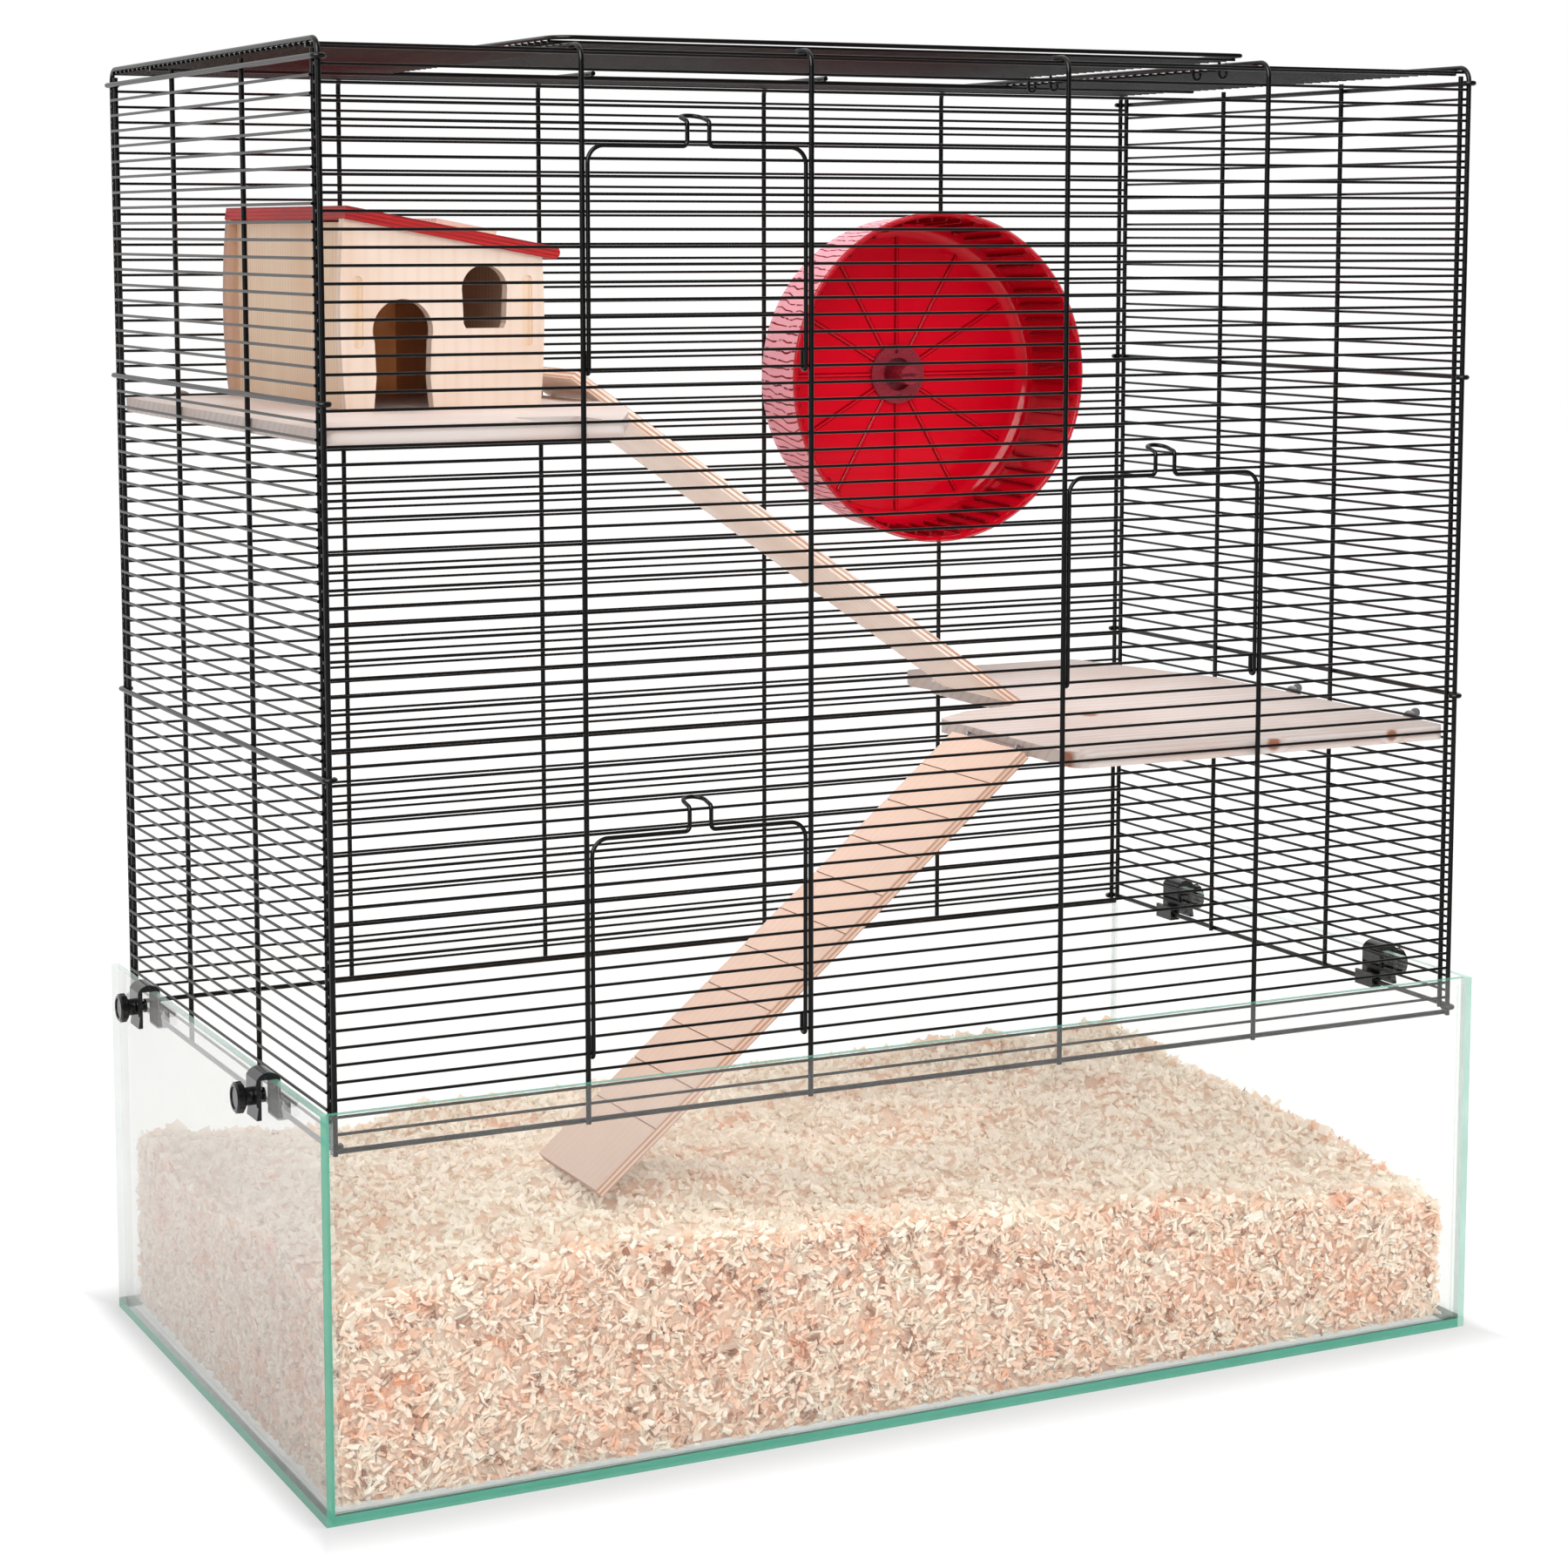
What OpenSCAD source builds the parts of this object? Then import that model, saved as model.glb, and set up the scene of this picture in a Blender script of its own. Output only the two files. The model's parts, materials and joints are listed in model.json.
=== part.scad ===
/* [Tank] */
// Outside width of the glass tank
tank_w = 802; // [700:2:1000]
// Outside depth of the glass tank
tank_d = 444; // [400:2:600]
// Height of the glass tank
tank_h = 240; // [200:2:320]
// Thickness of the glass panes
glass_t = 5; // [4:0.5:8]
// Leg of the silicone fillet in the corners
seam = 4; // [2:0.5:6]
// Depth of the wood shavings at the back
bedding_h = 124; // [60:1:150]
// Height of the mound in the shavings
mound_h = 26; // [5:1:40]

/* [Wire top] */
// Distance between neighbouring bars, centre to centre
bar_pitch = 10; // [9:0.5:12]
// Diameter of the thin bars
bar_d = 1.8; // [1.4:0.1:2.4]
// Diameter of the uprights, rails and ties
upright_d = 3.2; // [2.6:0.1:3.6]
// Bars of the front and back between the base rail and the roof
bar_count = 61; // [50:1:70]
// Gap between the wire top and the glass at the ends
end_gap = 5.4; // [4.5:0.1:8]
// Gap between the wire top and the glass at front and back
face_gap = 3.6; // [3.5:0.1:6]
// Depth of the base rail below the rim of the tank
rail_drop = 25; // [18:1:40]
// Centre-line radius of the bend between wall and roof
bend_r = 9; // [6:0.5:14]
// Share of the half width at which the outer inner uprights stand
outer_share = 0.6; // [0.5:0.01:0.7]
// Share of the half width at which the middle uprights stand
middle_share = 0.225; // [0.15:0.005:0.3]
// Height of an end panel's rail above the base rail
end_rail_rise = 4; // [3.5:0.25:6]
// Bars between two ties of an end panel
tie_step = 21; // [15:1:28]

/* [Front doors] */
// Bars in one front door
door_bars = 12; // [8:1:16]
// Hinge bar of the upper door of the left bay
door_a_row = 44; // [24:1:46]
// Hinge bar of the lower door of the left bay
door_b_row = 4; // [2:1:6]
// Hinge bar of the door of the right bay
door_c_row = 24; // [6:1:40]
// Wire of the door frames
door_wire = 2.6; // [2:0.1:3]
// Gap between a door and the uprights beside it
door_side_gap = 0.6; // [0.4:0.1:1.5]
// Corner radius of the door frames
door_corner = 10; // [6:1:16]
// Half width of the raised neck in a door's top wire
neck_half = 7; // [6:0.5:10]
// Reach of the neck's hook over its bar
neck_reach = 13; // [11:0.5:18]

/* [Roof door] */
// Distance of the roof door's front wire from the front wall
roof_door_front = 22.5; // [18:0.5:40]
// Depth of the roof door, in bars
roof_door_bars = 29; // [15:1:34]

/* [Shelves] */
// Thickness of the wooden shelves
shelf_t = 9; // [7:0.5:12]
// Gap between a shelf and the wires that it touches
shelf_gap = 0.4; // [0.3:0.1:1]
// Bar below the upper shelf
upper_row = 40; // [38:1:42]
// Bar below the lower shelf
lower_row = 18; // [16:1:20]
// Reach of the upper shelf from the left end panel
upper_reach = 261; // [230:1:290]
// Reach of the lower shelf's front part from the right end panel
lower_reach = 288; // [260:1:310]
// Reach of the lower shelf's back part from the right end panel
lower_back_reach = 200; // [190:1:215]

/* [Ramps] */
// Width of the ramps
ramp_w = 92; // [70:1:100]
// Thickness of the ramps
ramp_t = 7; // [6:0.5:10]
// Distance between the saw cuts of the lower ramp
kerf_pitch = 34; // [20:1:60]
// Left-to-right run of the lower ramp
lower_run = 300; // [260:1:320]

/* [Wheel] */
// Outside diameter of the wheel at its open front
wheel_d = 236; // [180:1:250]
// Depth of the wheel
wheel_depth = 72; // [50:1:90]
// Outside diameter of the wheel at its back
wheel_back_d = 227; // [170:1:240]
// Wall of the wheel
wheel_wall = 2.2; // [1.8:0.1:3.5]
// Radius of the round corner between the wheel's back and its wall
wheel_corner = 14; // [8:1:18]
// Radius of the bead round the wheel's open front
wheel_bead = 1.8; // [1.4:0.1:2.5]
// Thickness of the wheel's round ribs
rib_d = 3.4; // [2:0.2:5]
// Radial ribs of the wheel's back
rib_count = 12; // [8:1:16]
// Running slats inside the wheel
slat_count = 60; // [30:1:72]
// Thickness of a slat
slat_t = 1.8; // [1.2:0.1:2.5]
// Height of a slat above the wall
slat_h = 2.4; // [1:0.1:3]
// Diameter of the axle
axle_d = 8; // [6:0.5:9]
// Centre of the wheel to the right of the middle of the cage
wheel_x = 183; // [170:1:195]

/* [House] */
// Width of the house across its front wall
house_w = 127; // [110:1:140]
// Depth of the house
house_depth = 242; // [200:1:244]
// Distance of the house from the left end panel
house_side = 73; // [60:1:80]
// Height of the front wall at its high left end
house_h = 116.7; // [100:0.1:125]
// Fall of the roof from left to right over the front wall
roof_fall = 23.2; // [10:0.1:35]
// Thickness of the front and back walls
face_t = 9; // [7:0.5:10]
// Thickness of the side walls
side_t = 6.3; // [5:0.1:8]
// Thickness of the roof board
roof_t = 7.8; // [6:0.1:12]
// Height of the tenons that join the side walls to the front and back
tenon_h = 44; // [30:1:55]

/* [Clamps] */
// Width of a clamp along the glass
clamp_w = 20; // [14:1:28]
// Wall of a clamp
clamp_t = 3; // [2.5:0.1:4]
// Diameter of the knob
knob_d = 18.5; // [14:0.5:24]
// Grip ribs round a clamp's knob
knob_grips = 24; // [14:1:30]
// Distance of the rear clamps behind the middle
clamp_rear = 136; // [110:1:160]
// Distance of the front clamps in front of the middle
clamp_front = 119; // [105:1:150]

/* [Hidden] */

weld = 0.03;
seam_short = 6;
fit = 0.08;
gap = 0.3;
wire_fn = 16;
round_fn = 64;

// Wire top: half sizes to the centre lines of the corner uprights
half_w = tank_w / 2 - glass_t - end_gap - upright_d / 2;
half_d = tank_d / 2 - glass_t - face_gap - upright_d / 2;
rail_z = tank_h - rail_drop;
roof_z = rail_z + (bar_count + 0.5) * bar_pitch + bend_r;
wall_top = roof_z - bend_r;
bar_in = (upright_d + bar_d) / 2 - weld;
rail_in = upright_d - weld;
mat_x = [-half_w, -outer_share * half_w, -middle_share * half_w,
         middle_share * half_w, outer_share * half_w, half_w];
side_y = [-0.96 * half_d, -0.34 * half_d, 0.34 * half_d, 0.96 * half_d];
end_rail_z = rail_z + end_rail_rise;
end_top = roof_z - bar_in - bar_d - 1;
end_rows = floor((end_top - 4 - end_rail_z) / bar_pitch);
ties = [0, tie_step, 2 * tie_step, end_rows];
row_front = half_d - bar_in;

// Roof door
roof_flat = half_d - bend_r;
roof_rows_n = floor((2 * roof_flat + 4.5) / bar_pitch) + 1;
roof_y0 = -(roof_rows_n - 1) * bar_pitch / 2;
hole_row0 = ceil((-half_d + roof_door_front - roof_y0) / bar_pitch);
hole_y0 = roof_y0 + (hole_row0 - 1) * bar_pitch;
hole_y1 = hole_y0 + (roof_door_bars + 2) * bar_pitch;
rd_row_z = roof_z + upright_d / 2 + gap + bar_d / 2;
rd_z = rd_row_z + bar_d / 2 + door_wire / 2 - weld;
rd_hinge_x = mat_x[4];
hook_wire = 2;
hook_r = upright_d / 2 + fit + hook_wire / 2;
rd_right = rd_hinge_x - hook_r - (hook_wire + door_wire) / 2 + weld;
rd_left = mat_x[1] - 7;
rd_y0 = hole_y0 + 0.5 * bar_pitch;
rd_y1 = hole_y1 - 0.5 * bar_pitch;

// Front doors
door_h = door_bars * bar_pitch + 0.75 * bar_pitch;
door_r = bar_d / 2 + fit + door_wire / 2;
door_plane = -row_front - door_r;
leg_off = upright_d / 2 + door_side_gap + door_wire / 2;
bay_left = [mat_x[1], mat_x[2]];
bay_right = [mat_x[3], mat_x[4]];
hook_rise = 9;
neck_r = 3;
neck_slope = 14;
neck_h = 1.25 * bar_pitch;

// Shelves
upper_mid = rail_z + (upper_row + 0.5) * bar_pitch;
upper_top = upper_mid + shelf_t / 2;
lower_mid = end_rail_z + (lower_row + 0.5) * bar_pitch;
lower_top = lower_mid + shelf_t / 2;
shelf_side = half_w - upright_d / 2 - shelf_gap;
shelf_front = -row_front + bar_d / 2 + shelf_gap + 0.6;
shelf_back = row_front - bar_d / 2 - shelf_gap;
upper_edge = -half_w + upper_reach;
lower_edge = half_w - lower_reach;
lower_back_edge = half_w - lower_back_reach;
bolt_d = 4;
bolt_deep = 8;
washer_d = 16;
washer_t = 1.4;
bolt_y = [-0.75 * half_d, -0.1 * half_d];

// Shavings: a layer with a mound at the foot of the lower ramp, a hollow at the back and a fall to the front right
mound_at = [-0.26 * tank_w, -0.24 * tank_d];
mound_wide = [115, 110];
hollow_at = [-0.3 * tank_w, 0.46 * tank_d];
hollow_wide = [30, 60];
hollow_h = 10;
fall_h = 25.3;
function bell(x, w) = exp(-x * x / (2 * w * w));
function bedding_at(x, y) = bedding_h
    + mound_h * bell(x - mound_at[0], mound_wide[0]) * bell(y - mound_at[1], mound_wide[1])
    - hollow_h * bell(x - hollow_at[0], hollow_wide[0]) * bell(y - hollow_at[1], hollow_wide[1])
    - fall_h * max(0, 2 * x / tank_w - 0.25) * max(0, 0.75 - 2 * y / tank_d);

// Ramps
pin_d = 2;
eye_wire = 1.4;
eye_r = pin_d / 2 + fit + eye_wire / 2;
eye_out = eye_r + eye_wire / 2;
eye_inset = 14;
eye_deep = 3;
stem_deep = 4;
bore_gap = 0.05;
upper_pin = [upper_edge + eye_out + gap, upper_top - eye_out];
upper_lift = eye_out + gap;
upper_ramp_y = 18;
upper_foot = lower_back_edge - 8;
upper_run = upper_foot - upper_pin[0];
upper_guess = atan((upper_pin[1] - lower_top) / upper_run);
upper_slope = atan((upper_pin[1] + upper_lift / cos(upper_guess) - lower_top - gap) / upper_run);
upper_over = 26;
lower_ramp_y = -155;
lower_pin = [lower_edge - 4, lower_mid];
ramp_start = eye_out + 0.6;
foot_top = bedding_at(lower_edge - lower_run, lower_ramp_y + ramp_w / 2) - 1;
lower_slope = atan((lower_mid - ramp_t / 2 - foot_top) / lower_run);

// Wheel
wheel_z = rail_z + (upper_row + 1.5) * bar_pitch;
wheel_back = half_d - 22.5;
disc_t = 2.5;
hub_d = 43;
flange_t = 3.2;
cap_d = 14;
recess_d = 24;
hub_rear = wheel_back + 8;
hub_floor = hub_rear - 6.7;
bracket_front = half_d - 8.5;
cap_front = 24;
plate_d = 60;
stud_d = 6;
collar_d = 16;
nut_plate_d = 36;
nut_plate_t = 2.2;
nut_d = 16;
nut_h = 5;

// House
house_z = upper_top + gap;
house_x = -half_w + house_side;
house_y = shelf_back - 3.5 - house_depth;
side_inset = 5;
bow = 3;
door_x = 37;
window_x = 90.5;
tenon_low = 38;
roof_over = 12;
roof_slope = atan(roof_fall / house_w);

// Clamps
clamp_gap = 5;
arch_h = 4.5;
knob_z = tank_h - 11;
leg_low = tank_h - 24;
screw_d = 6;
knob_off = 0.5;
knob_deep = 6.5;
glass_x = tank_w / 2;
inner_leg = 1.8;
hook_t = 2.2;
lip_t = 2;
lip_rise = 6;
pad_d = 9;
pad_t = 1.6;
knob_h = 10.3;
knob_boss_d = 11;
knob_boss_h = 5;
knob_chamfer = 1.1;
knob_dish = 0.7;
grip_d = 1.1;
clamp_out = glass_x + clamp_gap + clamp_t;
clamp_y = [clamp_rear, -clamp_front];

// ---------------------------------------------------------------- wires

module wire_x(x0, x1, y, z, d)
    translate([x0, y, z]) rotate([0, 90, 0]) cylinder(d = d, h = x1 - x0, $fn = wire_fn);

module wire_y(x, y0, y1, z, d)
    translate([x, y0, z]) rotate([-90, 0, 0]) cylinder(d = d, h = y1 - y0, $fn = wire_fn);

module wire_z(x, y, z0, z1, d)
    translate([x, y, z0]) cylinder(d = d, h = z1 - z0, $fn = wire_fn);

// Bent wire about the origin in the XY plane, from one angle to another
module wire_arc(r, d, from, to)
    rotate([0, 0, from]) rotate_extrude(angle = to - from, $fn = 48)
        translate([r, 0]) circle(d = d, $fn = wire_fn);

// Lay a shape drawn in XY into the YZ plane, or upright into the XZ plane
module in_yz() rotate([90, 0, 90]) children();
module in_xz() rotate([90, 0, 0]) children();

module rounded(r) offset(r = r, $fn = 40) offset(delta = -r) children();

// ---------------------------------------------------------------- tank

module pane(w, d, h, x, y, z)
    color([0.78, 0.9, 0.85, 0.35]) translate([x - w / 2, y - d / 2, z]) cube([w, d, h]);

module glass_floor()
    pane(tank_w - 2 * glass_t, tank_d - 2 * glass_t, glass_t, 0, 0, 0);
module glass_front()
    pane(tank_w - 2 * glass_t, glass_t, tank_h, 0, -(tank_d - glass_t) / 2, 0);
module glass_back()
    pane(tank_w - 2 * glass_t, glass_t, tank_h, 0, (tank_d - glass_t) / 2, 0);
module glass_left() pane(glass_t, tank_d, tank_h, -(tank_w - glass_t) / 2, 0, 0);
module glass_right() pane(glass_t, tank_d, tank_h, (tank_w - glass_t) / 2, 0, 0);

// Concave fillet with its square corner at the origin
module fillet_profile()
    difference() {
        square(seam);
        translate([seam, seam]) circle(r = seam, $fn = 32);
    }

module silicone_seams()
    color([0.88, 0.92, 0.9]) {
        x = tank_w / 2 - glass_t;
        y = tank_d / 2 - glass_t;
        for (s = [-1, 1], t = [-1, 1])
            scale([s, t, 1]) translate([-x, -y, glass_t + seam])
                linear_extrude(tank_h - glass_t - seam - seam_short) fillet_profile();
        for (t = [-1, 1])
            scale([1, t, 1]) translate([-x, -y, glass_t])
                in_yz() linear_extrude(2 * x) fillet_profile();
        for (s = [-1, 1])
            scale([s, 1, 1]) translate([-x, y - seam, glass_t])
                in_xz() linear_extrude(2 * (y - seam)) fillet_profile();
    }

// Closed heap of shavings, clear of the sealant along the corners
module bedding_block() {
    cols = 16;
    rows = 8;
    hx = tank_w / 2 - glass_t - seam - gap;
    hy = tank_d / 2 - glass_t - seam - gap;
    low = glass_t + gap;
    xs = [for (i = [0:cols]) -hx + 2 * hx * i / cols];
    ys = [for (j = [0:rows]) -hy + 2 * hy * j / rows];
    n = cols + 1;
    top = [for (y = ys, x = xs) [x, y, bedding_at(x, y)]];
    base = [for (y = ys, x = xs) [x, y, low]];
    count = n * (rows + 1);
    polyhedron(points = concat(top, base), faces = concat(
        [for (j = [0:rows - 1], i = [0:cols - 1])
            [j * n + i, (j + 1) * n + i, (j + 1) * n + i + 1]],
        [for (j = [0:rows - 1], i = [0:cols - 1])
            [j * n + i, (j + 1) * n + i + 1, j * n + i + 1]],
        [for (i = [0:cols - 1]) [i, i + 1, count + i + 1, count + i]],
        [for (i = [0:cols - 1]) let (k = rows * n + i) [k + 1, k, count + k, count + k + 1]],
        [for (j = [0:rows - 1]) let (k = j * n) [k + n, k, count + k, count + k + n]],
        [for (j = [0:rows - 1]) let (k = j * n + cols) [k, k + n, count + k + n, count + k]],
        [concat([for (i = [0:cols]) count + i], [for (j = [1:rows]) count + j * n + cols],
                [for (i = [1:cols]) count + rows * n + cols - i],
                [for (j = [1:rows - 1]) count + (rows - j) * n])]));
}

module bedding() color([0.95, 0.84, 0.69]) bedding_block();

// ---------------------------------------------------------------- clamps

// Profile of a right-hand clamp in XZ: hook, inner leg, arch over the rim, outer leg
module clamp_profile() {
    in_x = glass_x - glass_t;
    rail_out = half_w + rail_in + upright_d / 2;
    rail_inner = rail_out - upright_d;
    hook_z = end_rail_z - upright_d / 2 - gap;
    leg_in = in_x - inner_leg;
    lip_in = rail_inner - gap - lip_t;
    difference() {
        union() {
            translate([leg_in, leg_low]) square([clamp_out - leg_in, tank_h - leg_low]);
            intersection() {
                translate([leg_in, tank_h - 1]) square([clamp_out - leg_in, arch_h + 1]);
                translate([(leg_in + clamp_out) / 2, tank_h - 4])
                    scale([(clamp_out - leg_in) / 2 / (arch_h + 4) * 1.12, 1])
                        circle(r = arch_h + 4, $fn = 48);
            }
        }
        translate([in_x, leg_low - 1]) square([glass_t + clamp_gap, tank_h - leg_low + 1]);
        translate([leg_in - 1, leg_low - 1]) square([inner_leg + 1.5, hook_z - leg_low + 1]);
        translate([clamp_out + 0.01, leg_low]) rotate(8) translate([0, -6]) square([8, 14]);
    }
    translate([lip_in, hook_z - hook_t]) square([in_x - lip_in, hook_t]);
    translate([lip_in, hook_z - hook_t]) square([lip_t, end_rail_z + lip_rise - hook_z + hook_t]);
}

module clamp_clip(side, y)
    color([0.13, 0.13, 0.14]) scale([side, 1, 1])
        difference() {
            translate([0, y + clamp_w / 2, 0]) in_xz() linear_extrude(clamp_w) clamp_profile();
            translate([glass_x + 1, y, knob_z]) rotate([0, 90, 0])
                cylinder(d = screw_d + 2 * fit, h = clamp_gap + clamp_t + 4, $fn = 32);
        }

// Shank with the pressure pad that bears on the glass
module clamp_screw(side, y)
    color([0.1, 0.1, 0.11]) scale([side, 1, 1]) translate([glass_x + gap, y, knob_z]) rotate([0, 90, 0]) {
        cylinder(d = pad_d, h = pad_t, $fn = 32);
        cylinder(d = screw_d, h = clamp_gap + clamp_t + knob_off + knob_deep - 2 * gap, $fn = 32);
    }

// Knob with a boss behind, a chamfered and ribbed rim and a dished face
module clamp_knob(side, y) {
    rim = knob_boss_h - 0.4;
    top = knob_h - knob_chamfer;
    color([0.11, 0.11, 0.12]) scale([side, 1, 1]) translate([clamp_out + knob_off, y, knob_z]) rotate([0, 90, 0])
        difference() {
            union() {
                cylinder(d = knob_boss_d, h = knob_boss_h, $fn = 40);
                translate([0, 0, rim]) cylinder(d1 = knob_d - 3, d2 = knob_d, h = knob_chamfer + weld, $fn = 64);
                translate([0, 0, rim + knob_chamfer])
                    cylinder(d = knob_d, h = top - rim - knob_chamfer + weld, $fn = 64);
                translate([0, 0, top]) cylinder(d1 = knob_d, d2 = knob_d - 2.4, h = knob_chamfer, $fn = 64);
                for (i = [0:knob_grips - 1]) rotate([0, 0, i * 360 / knob_grips])
                    translate([knob_d / 2 - 0.1, 0, rim + knob_chamfer + 0.1])
                        cylinder(d = grip_d, h = top - rim - knob_chamfer - 0.1, $fn = 16);
            }
            translate([0, 0, -1]) cylinder(d = screw_d + 2 * fit, h = knob_deep + 1, $fn = 32);
            translate([0, 0, knob_h - knob_dish]) cylinder(d = knob_d - 5, h = 2, $fn = 48);
        }
}

// ---------------------------------------------------------------- wire mat

module mat_uprights()
    color([0.07, 0.07, 0.08])
        for (x = mat_x, s = [-1, 1])
            wire_z(x, s * half_d, rail_z - upright_d / 2, wall_top, upright_d);

module mat_bends()
    color([0.07, 0.07, 0.08])
        for (x = mat_x) {
            translate([x, -half_d + bend_r, wall_top]) in_yz() wire_arc(bend_r, upright_d, 90, 180);
            translate([x, half_d - bend_r, wall_top]) in_yz() wire_arc(bend_r, upright_d, 0, 90);
        }

// Wires of the roof; the two middle ones stop at the roof door's opening
module mat_roof_wires()
    color([0.07, 0.07, 0.08]) {
        for (i = [0, 1, 4, 5]) wire_y(mat_x[i], -roof_flat, roof_flat, roof_z, upright_d);
        for (i = [2, 3]) {
            wire_y(mat_x[i], -roof_flat, hole_y0 + upright_d / 2, roof_z, upright_d);
            wire_y(mat_x[i], hole_y1 - upright_d / 2, roof_flat, roof_z, upright_d);
        }
    }

function row_z(k) = rail_z + k * bar_pitch;
function in_door(k, row) = k > row && k <= row + door_bars;

// A full bar, or its parts beside a door's opening
module front_row(k) {
    edge = half_w + upright_d / 2;
    y = -row_front;
    z = row_z(k);
    left_hole = in_door(k, door_a_row) || in_door(k, door_b_row);
    right_hole = in_door(k, door_c_row);
    a = left_hole ? bay_left[1] - upright_d / 2 : -edge;
    b = right_hole ? bay_right[0] + upright_d / 2 : edge;
    if (left_hole) wire_x(-edge, bay_left[0] + upright_d / 2, y, z, bar_d);
    wire_x(a, b, y, z, bar_d);
    if (right_hole) wire_x(bay_right[1] - upright_d / 2, edge, y, z, bar_d);
}

module front_rows()
    color([0.09, 0.09, 0.1]) for (k = [1:bar_count]) front_row(k);

module back_rows()
    color([0.09, 0.09, 0.1])
        for (k = [1:bar_count])
            wire_x(-half_w - upright_d / 2, half_w + upright_d / 2, row_front, row_z(k), bar_d);

// Height of a roof bar, lower where it lies in the bend
function roof_bar_z(y) = wall_top + sqrt(pow(bend_r - bar_in, 2) - pow(max(0, abs(y) - roof_flat), 2));

module roof_rows()
    color([0.09, 0.09, 0.1]) {
        edge = half_w + upright_d / 2;
        for (k = [0:roof_rows_n - 1]) {
            y = roof_y0 + k * bar_pitch;
            if (y > hole_y0 + 1 && y < hole_y1 - 1) {
                wire_x(-edge, mat_x[1] + upright_d / 2, y, roof_bar_z(y), bar_d);
                wire_x(mat_x[4] - upright_d / 2, edge, y, roof_bar_z(y), bar_d);
            } else if (abs(y - hole_y0) < 1 || abs(y - hole_y1) < 1)
                wire_x(-edge, edge, y, roof_z - rail_in, upright_d);
            else
                wire_x(-edge, edge, y, roof_bar_z(y), bar_d);
        }
    }

module base_rails()
    color([0.07, 0.07, 0.08])
        for (s = [-1, 1])
            wire_x(-half_w - upright_d / 2, half_w + upright_d / 2, s * (half_d - rail_in), rail_z, upright_d);

// ---------------------------------------------------------------- end panels

module end_uprights()
    color([0.07, 0.07, 0.08])
        for (s = [-1, 1], y = side_y)
            wire_z(s * half_w, y, end_rail_z - upright_d / 2, end_top, upright_d);

module end_row_set(side)
    color([0.1, 0.1, 0.11])
        for (k = [1:end_rows - 1])
            if (len(search(k, ties)) == 0)
                wire_y(side * (half_w + bar_in), side_y[0] - 2.5, side_y[3] + 2.5,
                       end_rail_z + k * bar_pitch, bar_d);

module left_rows() end_row_set(-1);
module right_rows() end_row_set(1);

// Tie wire whose ends hook round the corner uprights
module tie()
    union() {
        wire_y(half_w + rail_in, -half_d, half_d, 0, upright_d);
        translate([half_w, half_d, 0]) wire_arc(rail_in, upright_d, 0, 195);
        translate([half_w, -half_d, 0]) wire_arc(rail_in, upright_d, -195, 0);
    }

module end_ties()
    color([0.09, 0.09, 0.1])
        for (s = [-1, 1], k = ties)
            scale([s, 1, 1]) translate([0, 0, end_rail_z + k * bar_pitch]) tie();

// ---------------------------------------------------------------- front doors

// Frame wire: two legs that end in hooks round the hinge bar, and a top with round corners and a neck
module door_frame(bay, row) {
    half = (bay[1] - bay[0]) / 2 - leg_off;
    color([0.06, 0.06, 0.07]) translate([(bay[0] + bay[1]) / 2, 0, row_z(row)]) union() {
        for (s = [-1, 1]) scale([s, 1, 1]) {
            wire_z(half, door_plane, 0, door_h - door_corner, door_wire);
            translate([half, -row_front, 0]) in_yz() wire_arc(door_r, door_wire, 180, 360);
            wire_z(half, -row_front + door_r, 0, hook_rise, door_wire);
            translate([half - door_corner, door_plane, door_h - door_corner])
                in_xz() wire_arc(door_corner, door_wire, 0, 90);
            wire_x(neck_half + neck_r, half - door_corner, door_plane, door_h, door_wire);
        }
        translate([0, door_plane, door_h]) door_neck();
    }
}

// Neck that rises from the top wire and bends inwards round a bar of the front, as the door's catch
module door_neck() {
    leg = neck_reach - neck_half;
    for (s = [-1, 1]) scale([s, 1, 1]) {
        translate([neck_half + neck_r, 0, neck_r]) in_xz() wire_arc(neck_r, door_wire, 180, 270);
        wire_z(neck_half, 0, neck_r, neck_h, door_wire);
        translate([neck_half, door_r, neck_h]) in_yz() mirror([1, 0, 0])
            wire_arc(door_r, door_wire, 0, 90 - neck_slope);
        neck_out() translate([neck_half, weld, 0]) sphere(d = door_wire + weld, $fn = 32);
        neck_out() wire_y(neck_half, 2 * weld, leg, 0, door_wire);
    }
    neck_out() translate([0, leg, 0]) wire_arc(neck_half, door_wire, 0, 180);
}

// Frame of the hook: it starts where the bend ends and slopes up as it runs inwards
module neck_out()
    translate([0, door_r * (1 - sin(neck_slope)), neck_h + door_r * cos(neck_slope)])
        rotate([neck_slope, 0, 0]) children();

module door_rows(bay, row)
    color([0.09, 0.09, 0.1])
        for (k = [1:door_bars])
            wire_x(bay[0] + leg_off - door_wire / 2 + 0.3, bay[1] - leg_off + door_wire / 2 - 0.3,
                   door_plane + (door_wire + bar_d) / 2 - weld, row_z(row + k), bar_d);

module door_frame_a() door_frame(bay_left, door_a_row);
module door_frame_b() door_frame(bay_left, door_b_row);
module door_frame_c() door_frame(bay_right, door_c_row);
module door_bars_a() door_rows(bay_left, door_a_row);
module door_bars_b() door_rows(bay_left, door_b_row);
module door_bars_c() door_rows(bay_right, door_c_row);

// ---------------------------------------------------------------- roof door

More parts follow.
